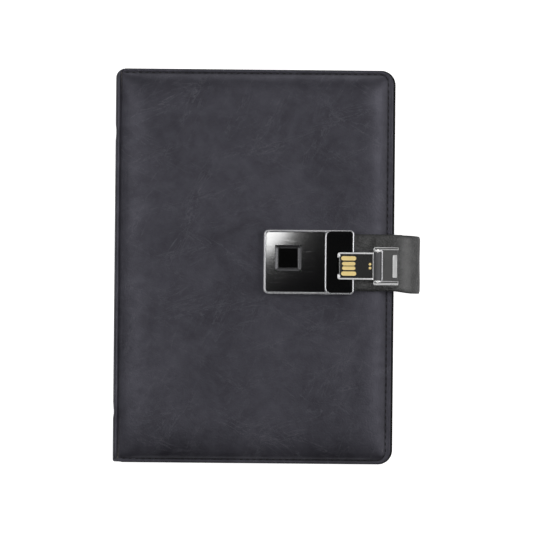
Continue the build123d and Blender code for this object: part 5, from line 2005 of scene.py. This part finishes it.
@dataclass
class Studio:
    """A pale floor, soft lamps on both sides and a camera straight above."""

    scale: float = 0.4476
    pixels: int = 533
    centre: tuple[float, float] = (5.6, 0.02)
    level: float = 26.0
    lens: float = 600.0
    roll: float = 0.54
    gloss: float = 2.0
    ambient: float = 0.5
    floor_glow: float = 0.82
    floor_gloss: float = 0.15
    across: Curve = (
        (-1.0, 0.06), (-0.55, 0.08), (-0.36, 0.8), (-0.15, 1.0), (-0.045, 0.015),
        (0.05, 0.015), (0.22, 0.42), (0.55, 1.0), (0.9, 0.95), (1.0, 0.7),
    )
    band: Curve = (
        (-1.0, 0.02), (-0.35, 0.04), (-0.08, 0.86), (0.0, 1.0), (0.1, 1.0), (0.26, 0.4),
        (0.5, 0.06), (1.0, 0.04),
    )
    ends: Curve = (
        (-1.0, 0.02), (-0.3, 0.02), (-0.1, 0.015), (0.1, 0.015), (0.26, 0.03), (0.6, 0.07),
        (0.85, 0.5), (1.0, 0.7),
    )

    def floor(self) -> None:
        """A wide pale floor that the camera sees as white, with the object's shadow on it."""
        Bench.clear()
        bpy.ops.mesh.primitive_grid_add(
            x_subdivisions=4, y_subdivisions=4, size=12, location=(0, 0, -0.0004)
        )
        ground = bpy.context.object
        ground.name = "floor"
        mix = Palette("floor_white")
        grain = mix.noise(mix.place, 6, 3)
        mix.feed("Base Color", mix.blend(grain, colour(236, 236, 236), colour(244, 244, 244)))
        mix.set(Roughness=0.9, Specular_IOR_Level=0.1, Emission_Strength=1.0)
        rays = mix.node("LightPath").outputs
        dimmed = mix.times(rays["Is Glossy Ray"], self.floor_gloss)
        seen = mix.math("MAXIMUM", rays["Is Camera Ray"], dimmed)
        seen = mix.math("MAXIMUM", seen, rays["Is Transmission Ray"])
        glow = (self.floor_glow, self.floor_glow, self.floor_glow, 1)
        mix.feed("Emission Color", mix.blend(seen, (0, 0, 0, 1), glow))
        ground.data.materials.append(mix.material)

    def sky(self) -> None:
        """A white surround for the camera and for reflections, dark straight above."""
        world = bpy.data.worlds.new("studio_world")
        bpy.context.scene.world = world
        world.use_nodes = True
        mix = Wiring(world.node_tree)
        rays = mix.node("LightPath").outputs
        way = mix.node("TexCoord").outputs["Generated"]
        part = mix.node("SeparateXYZ", {0: way}).outputs
        sides = mix.times(mix.curve(part["X"], self.across), mix.curve(part["Y"], self.band))
        shaped = mix.math("MAXIMUM", sides, mix.curve(part["Y"], self.ends))
        level = mix.times(shaped, self.gloss)
        soft = mix.between(rays["Is Glossy Ray"], self.ambient, level)
        clear = mix.math("MAXIMUM", rays["Is Camera Ray"], rays["Is Transmission Ray"])
        background = world.node_tree.nodes["Background"]
        background.inputs["Color"].default_value = (1, 1, 1, 1)
        power = mix.between(clear, soft, 1.0)
        world.node_tree.links.new(power, background.inputs["Strength"])

    def lamp(
        self,
        name: str,
        place: Point,
        size: tuple[float, float],
        power: float,
        aim: Point = (0, 0, 0.02),
    ) -> bpy.types.Object:
        """One soft rectangular lamp.

        Args:
            name: The lamp's name.
            place: Where it hangs, in metres.
            size: Its two sides, in metres.
            power: Its power in watts.
            aim: What it points at, in metres.

        Returns:
            The lamp.
        """
        data = bpy.data.lights.new(name, "AREA")
        data.shape, data.size, data.size_y, data.energy = "RECTANGLE", *size, power
        lamp = bpy.data.objects.new(name, data)
        bpy.context.scene.collection.objects.link(lamp)
        lamp.location = place
        lamp.rotation_mode = "QUATERNION"
        lamp.rotation_quaternion = (Vector(aim) - Vector(place)).to_track_quat("-Z", "Y")
        return lamp

    def camera(self) -> None:
        """The camera, which looks straight down through a long lens."""
        data = bpy.data.cameras.new("camera")
        data.lens = self.lens
        width = self.scale * self.pixels * MM
        distance = width * self.lens / data.sensor_width
        camera = bpy.data.objects.new("camera", data)
        bpy.context.scene.collection.objects.link(camera)
        x, y = self.centre
        camera.location = (x * MM, y * MM, self.level * MM + distance)
        camera.rotation_euler = (0, 0, math.radians(self.roll))
        data.clip_start, data.clip_end = 0.05, 30
        bpy.context.scene.camera = camera

    def make(self) -> None:
        """Sets the studio up."""
        bpy.context.scene.view_settings.view_transform = "Standard"
        self.camera()
        self.floor()
        self.sky()
        self.lamp("left_lamp", (-0.7, 0.2, 1.1), (0.5, 0.8), 3.0)
        self.lamp("right_lamp", (0.7, 0.2, 1.1), (0.5, 0.8), 3.0)
        self.lamp("head_lamp", (0.0, 1.6, 0.6), (1.0, 0.4), 0.9)

    def reflection(self, name: str) -> None:
        """A small lamp that only one glossy piece reflects, in its far corner.

        Args:
            name: The piece.
        """
        x, y = -0.008, 0.034
        corner = self.lamp("corner_lamp", (x, y, 0.6), (0.059, 0.059), 0.235, (x, y, 0))
        corner.data.shape = "DISK"
        linked = bpy.data.collections.new("corner_lamp_receivers")
        linked.objects.link(bpy.data.objects[name])
        corner.light_linking.receiver_collection = linked


def main() -> None:
    """Builds the diary, piece by piece."""
    logging.basicConfig(level=logging.INFO, format="%(name)s: %(message)s")
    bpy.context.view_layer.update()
    studio = Studio()
    studio.make()
    finishes = Finishes()
    book = Book()
    for side in Side:
        PaddedCover(book, side, finishes).make()
    Spine(book, finishes).make()
    Strap(finishes).make()
    Lock(finishes).make()
    Plug(finishes).make()
    Fitting(finishes).make()
    Leaves(finishes).make()
    Packed(finishes).make()
    studio.reflection("lock_glass")


if __name__ == "__main__":
    main()
